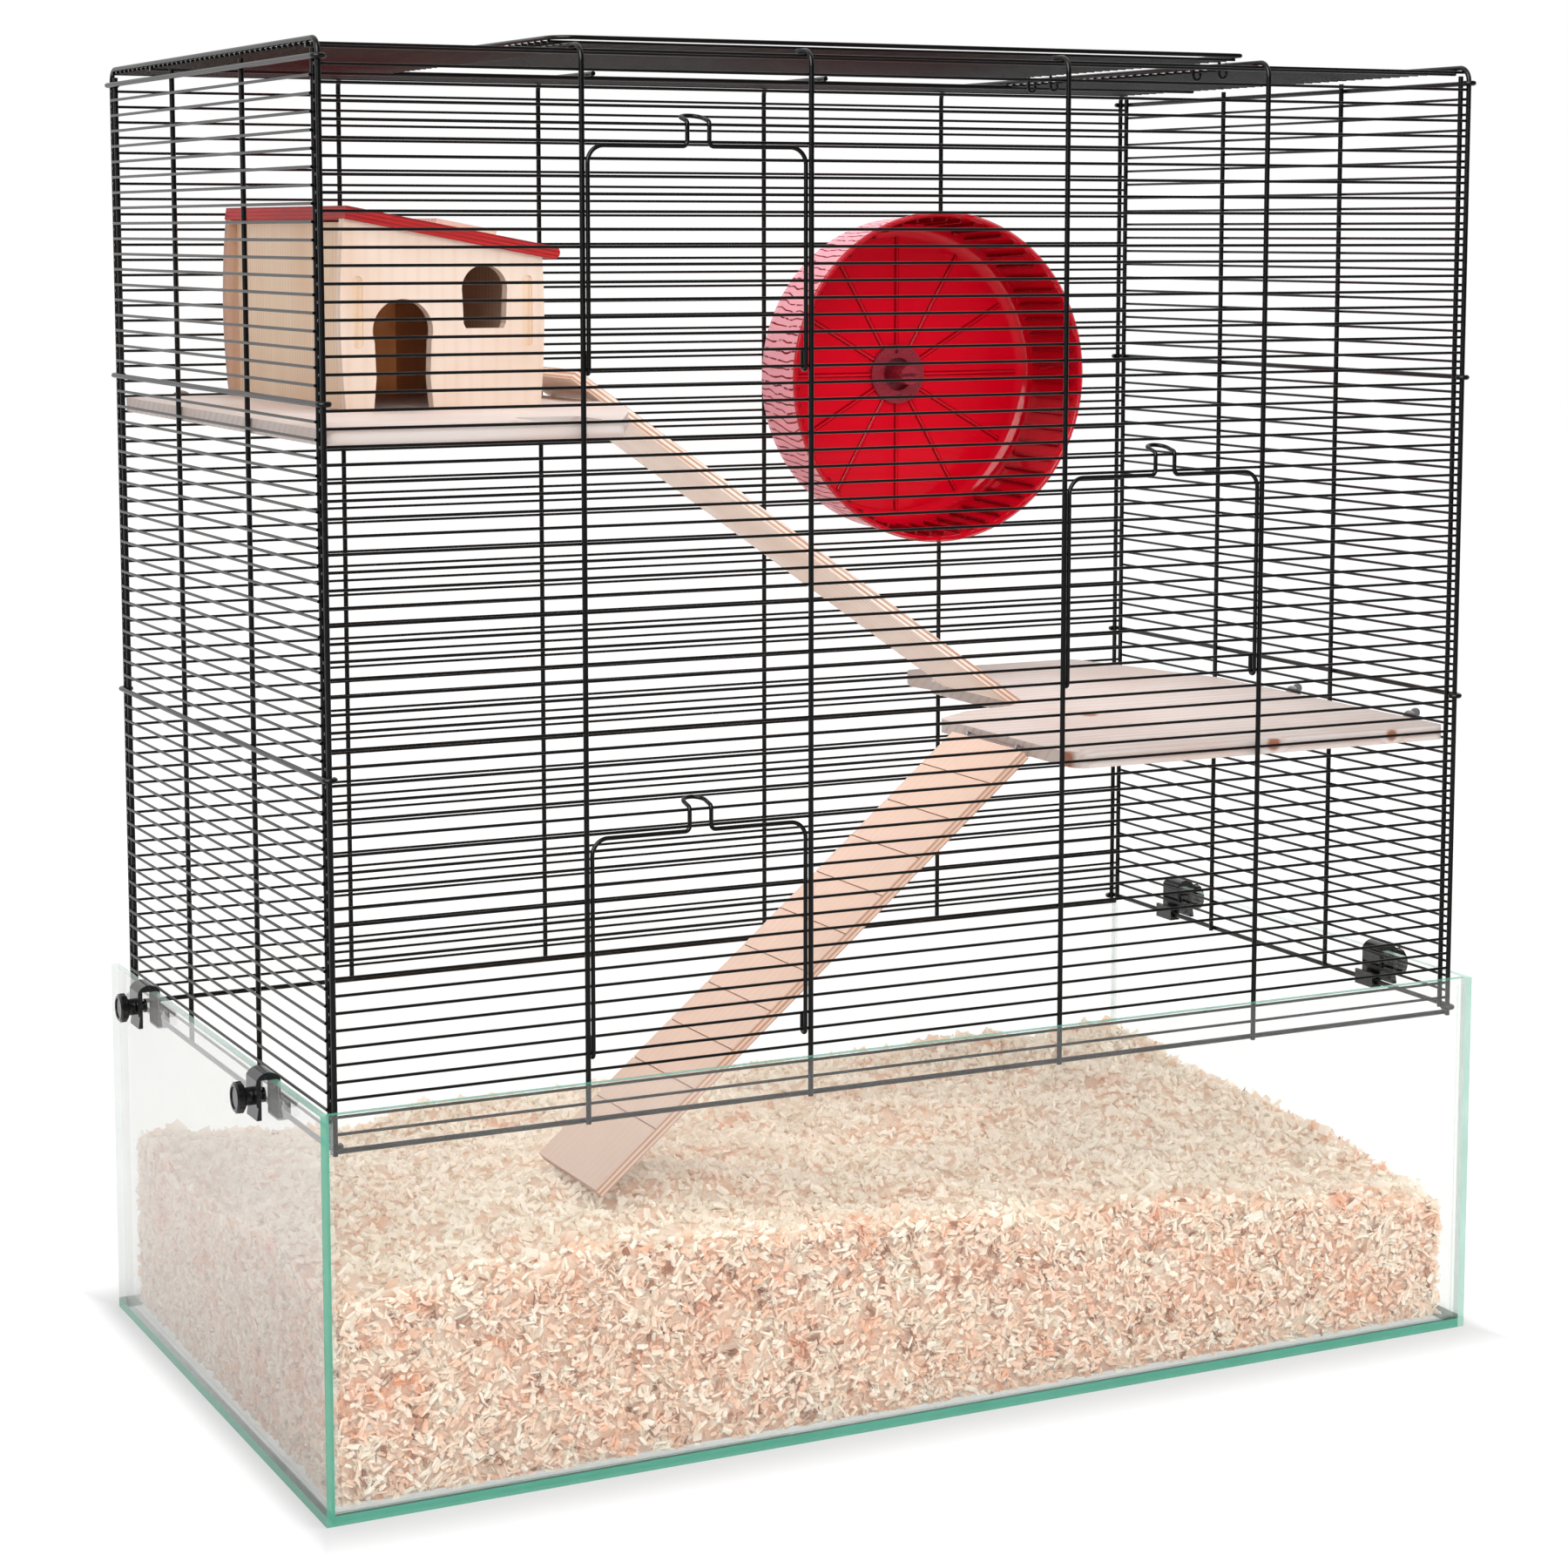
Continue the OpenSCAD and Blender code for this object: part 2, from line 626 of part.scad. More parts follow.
// Two round corners at the free end, two tight ones at the hinge
module roof_door_frame() {
    r = 14;
    h = 4;
    color([0.07, 0.07, 0.08]) translate([0, 0, rd_z]) union() {
        wire_y(rd_left, rd_y0 + r, rd_y1 - r, 0, door_wire);
        wire_y(rd_right, rd_y0 + h, rd_y1 - h, 0, door_wire);
        wire_x(rd_left + r, rd_right - h, rd_y0, 0, door_wire);
        wire_x(rd_left + r, rd_right - h, rd_y1, 0, door_wire);
        translate([rd_left + r, rd_y0 + r, 0]) wire_arc(r, door_wire, 180, 270);
        translate([rd_left + r, rd_y1 - r, 0]) wire_arc(r, door_wire, 90, 180);
        translate([rd_right - h, rd_y0 + h, 0]) wire_arc(h, door_wire, 270, 360);
        translate([rd_right - h, rd_y1 - h, 0]) wire_arc(h, door_wire, 0, 90);
    }
}

module roof_door_rows()
    color([0.09, 0.09, 0.1])
        for (k = [1:roof_door_bars])
            wire_x(rd_left - 0.6, rd_right + 0.6, rd_y0 + k * bar_pitch, rd_row_z, bar_d);

// Long hooks that pass down between the roof bars and round the hinge wire
module roof_door_hooks()
    color([0.07, 0.07, 0.08])
        for (k = [3, 6, roof_door_bars - 5, roof_door_bars - 2]) {
            y = rd_y0 + k * bar_pitch;
            low = roof_z - 5;
            union() {
                wire_z(rd_hinge_x - hook_r, y, low, rd_z + 0.4, hook_wire);
                translate([rd_hinge_x, y, low]) in_xz() wire_arc(hook_r, hook_wire, 180, 360);
                wire_z(rd_hinge_x + hook_r, y, low, roof_z + 2, hook_wire);
            }
        }

// ---------------------------------------------------------------- shelves

// Wide at the front door side, with a window cut through behind its front edge
module upper_shelf()
    color([0.92, 0.86, 0.8])
        difference() {
            translate([0, 0, upper_top - shelf_t]) linear_extrude(shelf_t) upper_outline();
            shelf_bores();
        }

module upper_outline()
    difference() {
        rounded(8) polygon([
            [-shelf_side, shelf_front], [upper_edge - 76, shelf_front],
            [upper_edge - 74, shelf_front + 13], [upper_edge - 32, -108],
            [upper_edge - 13, -63], [upper_edge + 3, -6], [upper_edge, 8],
            [upper_edge, shelf_back], [-shelf_side, shelf_back]]);
        translate([upper_edge - 120, shelf_front + 26]) rounded(8) square([42, 46]);
    }

// Wide at the front, with a bay behind it for the upper ramp and a cut back corner
module lower_shelf()
    color([0.92, 0.86, 0.8])
        difference() {
            translate([0, 0, lower_top - shelf_t]) linear_extrude(shelf_t) lower_outline();
            shelf_bores();
        }

module lower_outline()
    rounded(10) polygon([
        [shelf_side, shelf_front], [lower_edge, shelf_front], [lower_edge, -30],
        [lower_edge + 32, -8], [lower_back_edge - 14, 3], [lower_back_edge - 2, 12],
        [lower_back_edge - 2, 140], [lower_back_edge + 8, 150], [lower_back_edge + 2, 178],
        [lower_back_edge + 12, shelf_back - 6], [shelf_side - 42, shelf_back - 6], [shelf_side, 60]]);

// Bolt in a shelf's edge with a washer and a wing nut outside the bars
module hanger_bolt(reach) {
    translate([0, 0, -bolt_deep]) cylinder(d = bolt_d, h = bolt_deep + reach + 7, $fn = 24);
    translate([0, 0, reach + weld]) cylinder(d = washer_d, h = washer_t, $fn = 32);
    translate([0, 0, reach + washer_t]) {
        cylinder(d = 8, h = 4, $fn = 32);
        for (s = [-1, 1]) translate([s * 6, 0, 3.4]) rotate([90, 0, 0])
            translate([0, 0, -0.8]) cylinder(d = 7, h = 1.6, $fn = 32);
    }
}

module at_back_bolts()
    for (x = [-shelf_side + 40, upper_edge - 40])
        translate([x, shelf_back, upper_mid]) rotate([-90, 0, 0]) children();

module at_side_bolts()
    for (y = bolt_y) translate([shelf_side, y, lower_mid]) rotate([0, 90, 0]) children();

module shelf_bolts()
    color([0.7, 0.7, 0.72]) {
        at_back_bolts() hanger_bolt(row_front + bar_d / 2 - shelf_back);
        at_side_bolts() hanger_bolt(half_w + bar_in + bar_d / 2 - shelf_side);
    }

function inset_pair(y) = [y + eye_inset, y + ramp_w - eye_inset];

// Screw eyes in the edges of the shelves, which the ramps hang on
module ramp_eyes()
    color([0.7, 0.7, 0.72]) {
        for (y = inset_pair(upper_ramp_y)) translate([upper_pin[0], y, upper_pin[1]]) union() {
            in_xz() wire_arc(eye_r, eye_wire, 0, 360);
            wire_x(upper_edge - eye_deep - upper_pin[0], -eye_r, 0, 0, eye_wire);
        }
        for (y = inset_pair(lower_ramp_y)) translate([lower_pin[0], y, lower_pin[1]]) union() {
            in_xz() wire_arc(eye_r, eye_wire, 0, 360);
            wire_x(eye_r, lower_edge + eye_deep - lower_pin[0], 0, 0, eye_wire);
        }
    }

// Blind holes in the shelves for the bolts and the shanks of the eyes
module shelf_bores() {
    deep = eye_deep + bore_gap;
    at_back_bolts() translate([0, 0, -bolt_deep - bore_gap])
        cylinder(d = bolt_d + 2 * bore_gap, h = bolt_deep + 1, $fn = 24);
    at_side_bolts() translate([0, 0, -bolt_deep - bore_gap])
        cylinder(d = bolt_d + 2 * bore_gap, h = bolt_deep + 1, $fn = 24);
    for (y = inset_pair(upper_ramp_y))
        wire_x(upper_edge - deep, upper_edge + 1, y, upper_pin[1], eye_wire + 2 * bore_gap);
    for (y = inset_pair(lower_ramp_y))
        wire_x(lower_edge - 1, lower_edge + deep, y, lower_pin[1], eye_wire + 2 * bore_gap);
}

// ---------------------------------------------------------------- ramps

function stem_pair(y) = [y + eye_inset - 6, y + ramp_w - eye_inset + 6];

// Places a shape at the upper hinge pin, with +X down the ramp
module at_upper_pin() translate([upper_pin[0], 0, upper_pin[1]]) rotate([0, upper_slope, 0]) children();

module upper_stems(extra)
    for (y = stem_pair(upper_ramp_y)) wire_z(0, y, 0, upper_lift + stem_deep + extra, pin_d + 2 * extra);

// Board that slopes down from the upper shelf's edge to the lower shelf
module upper_ramp()
    color([0.91, 0.8, 0.72])
        difference() {
            at_upper_pin() difference() {
                translate([-upper_over, upper_ramp_y, upper_lift])
                    cube([upper_over + upper_run / cos(upper_slope) + 12, ramp_w, ramp_t]);
                upper_stems(bore_gap);
            }
            translate([upper_edge, upper_ramp_y - 1, lower_top + gap - 60])
                cube([upper_run + 80, ramp_w + 2, 60]);
        }

// Wire bail under the upper ramp: a pin through the eyes, on two stems
module upper_bail()
    color([0.7, 0.7, 0.72]) at_upper_pin() union() {
        ys = stem_pair(upper_ramp_y);
        wire_y(0, ys[0], ys[1], 0, pin_d);
        upper_stems(0);
    }

// Places a shape at the lower hinge pin, with -X down the ramp
module at_lower_pin() translate([lower_pin[0], 0, lower_pin[1]]) rotate([0, -lower_slope, 0]) children();

module lower_stems(extra)
    for (y = stem_pair(lower_ramp_y)) wire_x(-ramp_start - stem_deep - extra, 0, y, 0, pin_d + 2 * extra);

// Board with saw cuts across it, from the lower shelf down into the shavings
module lower_ramp() {
    len = lower_run / cos(lower_slope);
    color([0.86, 0.74, 0.62])
        difference() {
            at_lower_pin() difference() {
                translate([-len, lower_ramp_y, -ramp_t / 2]) cube([len - ramp_start, ramp_w, ramp_t]);
                for (s = [kerf_pitch:kerf_pitch:len - 20])
                    translate([-s, lower_ramp_y - 1, ramp_t / 2 - 1]) cube([0.9, ramp_w + 2, 2]);
                lower_stems(bore_gap);
            }
            translate([lower_edge - lower_run - 60, lower_ramp_y - 1, foot_top - 60])
                cube([120, ramp_w + 2, 60]);
        }
}

// Wire bail in the end of the lower ramp
module lower_bail()
    color([0.7, 0.7, 0.72]) at_lower_pin() union() {
        ys = stem_pair(lower_ramp_y);
        wire_y(0, ys[0], ys[1], 0, pin_d);
        lower_stems(0);
    }

// ---------------------------------------------------------------- wheel

module wheel_at() translate([wheel_x, wheel_back, wheel_z]) rotate([90, 0, 0]) children();

// Dished drum: thin back, radial ribs, wall that widens to a rolled front rim
module wheel_drum() {
    rf = wheel_d / 2;
    color([0.78, 0.06, 0.18]) wheel_at() union() {
        rotate_extrude($fn = round_fn) drum_profile();
        translate([0, 0, wheel_depth - wheel_bead])
            rotate_extrude($fn = round_fn) translate([rf - wheel_bead, 0]) circle(r = wheel_bead, $fn = 24);
        for (i = [0:rib_count - 1]) rotate([0, 0, i * 360 / rib_count])
            translate([hub_d / 2 + bore_gap, 0, disc_t]) rotate([0, 90, 0])
                cylinder(d = rib_d, h = wheel_back_d / 2 - wheel_corner - hub_d / 2, $fn = 24);
    }
}

// Half section of the drum: disc, round corner and flaring wall
module drum_profile() {
    rb = wheel_back_d / 2;
    rf = wheel_d / 2 - wheel_bead;
    translate([hub_d / 2 - 6, 0]) square([rb - wheel_corner - hub_d / 2 + 6 + weld, disc_t]);
    translate([rb - wheel_corner, wheel_corner]) difference() {
        circle(r = wheel_corner, $fn = 64);
        circle(r = wheel_corner - wheel_wall, $fn = 64);
        translate([-wheel_corner - 1, -wheel_corner - 1]) square([wheel_corner + 1, 2 * wheel_corner + 2]);
        translate([-1, 0]) square(wheel_corner + 2);
    }
    polygon([[rb, wheel_corner - weld], [rf, wheel_depth - wheel_bead],
             [rf - wheel_wall, wheel_depth - wheel_bead], [rb - wheel_wall, wheel_corner - weld]]);
}

// Slats on the inside of the wall for grip
module wheel_slats() {
    z0 = wheel_corner + 1;
    z1 = wheel_depth - 3 * wheel_bead;
    r0 = wheel_inner(z0) - gap;
    r1 = wheel_inner(z1) - gap;
    color([0.6, 0.03, 0.1]) wheel_at()
        for (i = [0:slat_count - 1]) rotate([0, 0, (i + 0.5) * 360 / slat_count])
            rotate([90, 0, 0]) linear_extrude(slat_t, center = true)
                polygon([[r0, z0], [r1, z1], [r1 - slat_h, z1], [r0 - slat_h, z0]]);
}

// Radius of the inside of the wheel's wall at a distance from its back
function wheel_inner(z) = wheel_back_d / 2 - wheel_wall
    + (z - wheel_corner) * (wheel_d / 2 - wheel_bead - wheel_back_d / 2) / (wheel_depth - wheel_bead - wheel_corner);

// Flange with a deep recess, a rear boss and the axle bore
module wheel_hub() {
    depth_in = hub_floor - wheel_back;
    color([0.62, 0.08, 0.14]) wheel_at()
        difference() {
            union() {
                translate([0, 0, disc_t]) cylinder(d = hub_d, h = flange_t, $fn = round_fn);
                translate([0, 0, -(hub_rear - wheel_back)])
                    cylinder(d = recess_d + 6, h = hub_rear - wheel_back + disc_t + 0.1, $fn = round_fn);
            }
            translate([0, 0, -depth_in]) cylinder(d = recess_d, h = depth_in + disc_t + 4, $fn = round_fn);
            translate([0, 0, -(hub_rear - wheel_back) - 1])
                cylinder(d = axle_d + 2 * fit, h = 20, $fn = 32);
            for (a = [95, 275]) rotate([0, 0, a]) translate([hub_d / 2 - 5, 0, disc_t + 1])
                cylinder(d = 3, h = 4, $fn = 24);
        }
}

// Axle with a slotted cap in front, a plate inside the bars and a nut outside
module wheel_axle() {
    cap_back = hub_floor - wheel_back - gap;
    plate = bracket_front - wheel_back;
    inside = row_front - bar_d / 2 - 0.05 - wheel_back;
    outside = row_front + bar_d / 2 + 0.05 - wheel_back;
    color([0.66, 0.07, 0.13]) wheel_at() union() {
        difference() {
            translate([0, 0, -cap_back]) cylinder(d = cap_d, h = cap_back + cap_front, $fn = 40);
            translate([-cap_d, -1.2, cap_front - 3]) cube([2 * cap_d, 2.4, 4]);
        }
        translate([0, 0, -plate - 1]) cylinder(d = axle_d, h = plate - cap_back + 2, $fn = 32);
        translate([0, 0, -plate]) cylinder(d = collar_d, h = plate - (hub_rear - wheel_back) - gap, $fn = 40);
        translate([0, 0, -inside]) cylinder(d = plate_d, h = inside - plate, $fn = 48);
        translate([0, 0, -outside - 5]) cylinder(d = stud_d, h = outside - plate + 6, $fn = 32);
        translate([0, 0, -outside - nut_plate_t]) cylinder(d = nut_plate_d, h = nut_plate_t, $fn = 48);
        translate([0, 0, -outside - nut_plate_t - nut_h + 0.2]) cylinder(d = nut_d, h = nut_h, $fn = 6);
    }
}

// ---------------------------------------------------------------- house

module house_at() translate([house_x, house_y, house_z]) children();

// Height of the wall tops at a distance from the left end
function eaves(x) = house_h - roof_fall * x / house_w;

// Wall outline with bowed ends and a sloping top
module face_outline()
    intersection() {
        polygon([[-bow - 1, 0], [house_w + bow + 1, 0], [house_w + bow + 1, eaves(house_w + bow + 1)],
                 [-bow - 1, eaves(-bow - 1)]]);
        big = house_h * house_h / (8 * bow) + bow / 2;
        intersection() {
            translate([big - bow, house_h / 2]) circle(r = big, $fn = 180);
            translate([house_w + bow - big, house_h / 2]) circle(r = big, $fn = 180);
        }
    }

// Upright slot with round ends for a side wall's tenon
module tenon_shape(w, h)
    union() {
        translate([-w / 2, w / 2]) square([w, h - w]);
        translate([0, w / 2]) circle(d = w, $fn = 32);
        translate([0, h - w / 2]) circle(d = w, $fn = 32);
    }

function side_x(s) = s < 0 ? side_inset + side_t / 2 : house_w - side_inset - side_t / 2;

module tenon_slots()
    for (s = [-1, 1])
        translate([side_x(s), tenon_low]) tenon_shape(side_t + 2 * bore_gap, tenon_h + 2 * bore_gap);

// Doorway: a round head on sides that draw in and then flare to the floor
module doorway()
    translate([door_x, 0]) union() {
        translate([0, 48.5]) circle(d = 39, $fn = 64);
        polygon([[-19.5, -1], [19.5, -1], [17.5, 20], [18.4, 42], [-18.4, 42], [-17.5, 20]]);
    }

// Window: a round head on a sill a little narrower than the head
module window()
    translate([window_x, 49.5]) union() {
        translate([0, 24]) circle(d = 30, $fn = 64);
        polygon([[-12.5, 0], [12.5, 0], [14, 3], [14.9, 24], [-14.9, 24], [-14, 3]]);
    }

module house_front()
    color([0.94, 0.85, 0.74]) house_at() translate([0, face_t, 0]) in_xz() linear_extrude(face_t)
        difference() {
            face_outline();
            tenon_slots();
            doorway();
            window();
        }

module house_back()
    color([0.94, 0.85, 0.74]) house_at() translate([0, house_depth, 0]) in_xz() linear_extrude(face_t)
        difference() {
            face_outline();
            tenon_slots();
        }

// Side walls with a tenon at each end
module house_sides()
    color([0.9, 0.77, 0.62]) house_at()
        for (s = [-1, 1]) {
            h = eaves(side_x(s) + side_t / 2);
            translate([side_x(s) - side_t / 2, face_t + bore_gap, 0])
                cube([side_t, house_depth - 2 * face_t - 2 * bore_gap, h]);
            translate([side_x(s), house_depth - 0.4, tenon_low + bore_gap]) in_xz()
                linear_extrude(house_depth - 0.8) tenon_shape(side_t, tenon_h);
        }

// Places a shape on the wall tops, with +X down the roof
module at_eaves() house_at() translate([0, 0, house_h + 0.02]) rotate([0, roof_slope, 0]) children();

// One board with a round nose at its low end
module house_roof()
    color([0.8, 0.13, 0.13]) at_eaves() translate([0, house_depth + 1, 0]) in_xz()
        linear_extrude(house_depth + 4) union() {
            len = (house_w + roof_over) / cos(roof_slope);
            translate([-0.5, 0]) square([len - roof_t / 2 + 0.5, roof_t]);
            translate([len - roof_t / 2, roof_t / 2]) circle(d = roof_t, $fn = 40);
        }

// Cleat on the roof
module house_cleat()
    color([0.94, 0.85, 0.74]) at_eaves() translate([house_w * 0.74, house_depth * 0.4, roof_t])
        cube([42, 60, 10]);

// ---------------------------------------------------------------- assembly

glass_floor();
glass_front();
glass_back();
glass_left();
glass_right();
silicone_seams();
bedding();
clamp_clip(-1, clamp_y[0]);  // clamp_clip_1
clamp_clip(-1, clamp_y[1]);  // clamp_clip_2
clamp_clip(1, clamp_y[0]);  // clamp_clip_3
clamp_clip(1, clamp_y[1]);  // clamp_clip_4
clamp_screw(-1, clamp_y[0]);  // clamp_screw_1
clamp_screw(-1, clamp_y[1]);  // clamp_screw_2
clamp_screw(1, clamp_y[0]);  // clamp_screw_3
clamp_screw(1, clamp_y[1]);  // clamp_screw_4
clamp_knob(-1, clamp_y[0]);  // clamp_knob_1
clamp_knob(-1, clamp_y[1]);  // clamp_knob_2
clamp_knob(1, clamp_y[0]);  // clamp_knob_3
clamp_knob(1, clamp_y[1]);  // clamp_knob_4
mat_uprights();
mat_bends();
mat_roof_wires();
front_rows();
back_rows();
roof_rows();
base_rails();
end_uprights();
left_rows();
right_rows();
end_ties();
door_frame_a();
door_frame_b();
door_frame_c();
door_bars_a();
door_bars_b();
door_bars_c();
roof_door_frame();
roof_door_rows();
roof_door_hooks();
upper_shelf();
lower_shelf();
shelf_bolts();
ramp_eyes();
upper_ramp();
lower_ramp();
upper_bail();
lower_bail();
wheel_drum();
wheel_slats();
wheel_hub();
wheel_axle();
house_front();
house_back();
house_sides();
house_roof();
house_cleat();
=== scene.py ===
"""Hamster cage: looks for a glass tank with a clamped wire top, shelves, ramps, wheel and house.

Every CAD node keeps its mesh and gets a material, except the bedding, which a heap of curled
shavings replaces. Lengths are in metres and written as millimetres times MM.
"""

import json
import math
from functools import partial

import bpy
from mathutils import Matrix, Vector, noise


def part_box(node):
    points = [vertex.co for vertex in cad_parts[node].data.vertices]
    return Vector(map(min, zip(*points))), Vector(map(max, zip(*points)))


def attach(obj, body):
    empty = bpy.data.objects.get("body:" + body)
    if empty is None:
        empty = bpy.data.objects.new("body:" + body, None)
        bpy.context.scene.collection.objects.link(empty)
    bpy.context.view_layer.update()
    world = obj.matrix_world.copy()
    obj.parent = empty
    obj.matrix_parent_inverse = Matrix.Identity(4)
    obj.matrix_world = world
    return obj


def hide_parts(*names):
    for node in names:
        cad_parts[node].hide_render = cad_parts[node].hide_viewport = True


bl_info = {
    "name": "Hamster cage",
    "version": (1, 0, 0),
    "blender": (4, 5, 0),
    "location": "View3D > Sidebar > Cage",
    "description": "Dresses the cage's parts in glass, wire, wood, plastic and shavings",
    "category": "Object",
}

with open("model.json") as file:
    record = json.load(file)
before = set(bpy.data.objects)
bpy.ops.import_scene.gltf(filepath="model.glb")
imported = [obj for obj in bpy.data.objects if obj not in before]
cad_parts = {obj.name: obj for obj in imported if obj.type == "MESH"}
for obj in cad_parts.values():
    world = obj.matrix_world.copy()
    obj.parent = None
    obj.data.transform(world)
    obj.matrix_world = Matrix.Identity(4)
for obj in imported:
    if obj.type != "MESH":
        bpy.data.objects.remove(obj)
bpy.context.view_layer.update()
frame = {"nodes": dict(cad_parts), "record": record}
NODES = frame["nodes"]
MM = 0.001


# ------------------------------------------------------------------ helpers


def srgb(text):
    """Linear RGBA for an sRGB hex colour such as F3D6B0."""
    parts = [int(text[i : i + 2], 16) / 255 for i in (0, 2, 4)]
    return [p / 12.92 if p <= 0.04045 else ((p + 0.055) / 1.055) ** 2.4 for p in parts] + [1.0]


def blend(a, b, fac):
    """A colour between two others."""
    return [x + (y - x) * fac for x, y in zip(a, b)]


def shaded(base, share):
    """A darker shade of a colour."""
    return [c * share for c in base[:3]] + [1]


def add(tree, kind, inputs=(), operation=None, stops=(), **settings):
    """Adds a node with its operation, its other properties and its inputs.

    A kind without a family, such as Math, is a shader node. inputs is a tuple in the order of the
    sockets or a dict by name or number. An input is a value, a socket, or a node whose first live
    output is linked. stops are the (position, colour) pairs of a colour ramp.
    """
    family = "" if kind.startswith(("Geometry", "Function", "NodeGroup")) else "ShaderNode"
    node = tree.nodes.new(family + kind)
    if operation:
        node.operation = operation
    for key, value in settings.items():
        setattr(node, key, value)
    for number, (position, shade) in enumerate(stops):
        band = node.color_ramp.elements
        element = band[number] if number < len(band) else band.new(position)
        element.position, element.color = position, shade
    for key, value in inputs.items() if isinstance(inputs, dict) else enumerate(inputs):
        if isinstance(value, bpy.types.Node):
            value = next(output for output in value.outputs if output.enabled)
        if isinstance(value, bpy.types.NodeSocket):
            tree.links.new(value, node.inputs[key])
        else:
            node.inputs[key].default_value = value
    return node


def start_material(name):
    """An empty material, the function that adds its nodes, and the outputs of its coordinates."""
    material = bpy.data.materials.new(name)
    material.use_nodes = True
    material.node_tree.nodes.clear()
    node = partial(add, material.node_tree)
    return material, node, node("TexCoord").outputs


def dress(material, *names):
    """Gives CAD nodes a material."""
    for name in names:
        mesh = NODES[name].data
        mesh.materials.clear()
        mesh.materials.append(material)


def new_object(name, vertices, faces):
    """A mesh object at the origin, with its place in its mesh."""
    mesh = bpy.data.meshes.new(name)
    mesh.from_pydata(vertices, [], faces)
    mesh.update()
    obj = bpy.data.objects.new(name, mesh)
    bpy.context.scene.collection.objects.link(obj)
    return obj


def grown(name, source, tree, values):
    """Runs a node tree on a copy of source and returns the plain mesh that it makes."""
    host = bpy.data.objects.new(name + "_host", source.data.copy())
    bpy.context.scene.collection.objects.link(host)
    modifier = host.modifiers.new(name, "NODES")
    modifier.node_group = tree
    for item in tree.interface.items_tree:
        if item.in_out == "INPUT" and item.name in values:
            modifier[item.identifier] = values[item.name]
    evaluated = host.evaluated_get(bpy.context.evaluated_depsgraph_get())
    mesh = bpy.data.meshes.new_from_object(evaluated)
    mesh.name = name
    host.modifiers.remove(modifier)
    bpy.data.objects.remove(host)
    obj = bpy.data.objects.new(name, mesh)
    bpy.context.scene.collection.objects.link(obj)
    return obj


# ------------------------------------------------------------------ properties


def colour(name, description, default):
    """A colour property. Its default is an sRGB hex colour, or linear RGBA for a clear sheet."""
    if isinstance(default, str):
        default = srgb(default)
    return bpy.props.FloatVectorProperty(
        name=name, description=description, subtype="COLOR", size=4, min=0, max=1, default=default
    )


def length(name, description, default):
    """A length property in metres."""
    return bpy.props.FloatProperty(
        name=name, description=description, default=default, min=0.1 * MM, unit="LENGTH"
    )


def fraction(name, description, default):
    """A property that is a share between 0 and 1."""
    return bpy.props.FloatProperty(
        name=name, description=description, default=default, min=0.0, max=1.0, subtype="FACTOR"
    )


class StageLooks(bpy.types.PropertyGroup):
    floor: colour("Floor", "Colour of the floor and background", "FFFFFF")
    key_power: bpy.props.FloatProperty(
        name="Key light",
        description="Power of the large lamp in front",
        default=54.0,
        min=0.0,
        unit="POWER",
    )
    sky: bpy.props.FloatProperty(
        name="Sky", description="Strength of the light from all round", default=1.06, min=0.0
    )
    lens: bpy.props.FloatProperty(
        name="Lens",
        description="Focal length of the camera in millimetres",
        default=76.968,
        min=10.0,
    )


class CageLooks(bpy.types.PropertyGroup):
    wire: colour("Wire", "Powder coat on all the wires", "040405")
    glass: colour("Glass", "Light that a pane lets through", (0.988, 0.997, 0.992, 1))
    glass_left: colour(
        "Left pane", "Light that the left pane lets through", (0.945, 0.945, 0.938, 1)
    )
    glass_edge: colour("Glass edge", "Cut edges of the panes", "4E9480")
    dust_left: fraction("Dust on the left pane", "Light that the dust on it scatters", 0.08)
    dust_long: fraction("Dust on the long panes", "Light that the dust on them scatters", 0.03)
    shaving_light: colour("Shaving, light", "Outer side of a softwood shaving", "FFF8EC")
    shaving_dark: colour("Shaving, dark", "Summer wood in a shaving", "F8B584")
    shaving_size: length("Shaving size", "Length of a common shaving", 12 * MM)
    clamp: colour("Clamp", "Moulded plastic of the clamps and knobs", "0E0E10")
    shelf: colour("Shelf", "Early wood of the planed shelves", "BFB8B4")
    shelf_line: colour("Shelf line", "Late wood of the planed shelves", "B0968A")
    shelf_line_gap: length("Shelf line gap", "Distance between the shelves' grain lines", 11 * MM)
    ramp: colour("Ramp", "Face of the ramps", "F4E8E1")
    ramp_line: colour("Ramp line", "Grain of the ramps", "D9B9A2")
    ply_dark: colour("Ply, dark", "Dark layers in a plywood edge", "A46B48")
    ply: length("Ply", "Thickness of one layer of the plywood", 1.5 * MM)
    house: colour("House", "Face of the house's walls", "DCCABC")
    house_line: colour("House line", "Grain of the house's walls", "C9A283")
    house_side: colour("House side", "Side walls of the house", "DEC8B0")
    house_side_line: colour("House side line", "Grain of the house's side walls", "C79E7C")
    roof: colour("Roof", "Stain on the house's roof", "C21214")
    roof_line: colour("Roof line", "Grain under the roof's stain", "74090D")
    wheel: colour("Wheel", "Moulded plastic of the wheel", "E00422")
    hub: colour("Hub", "Moulded plastic of the hub and axle", "8E1F30")


# ------------------------------------------------------------------ materials

# A texture's scale is in cells per metre, so 900 gives cells of about 1.1 mm. Orange peel, wood
# fibres and mould grain are finer on the real pieces, and are drawn as coarse as they need to show.


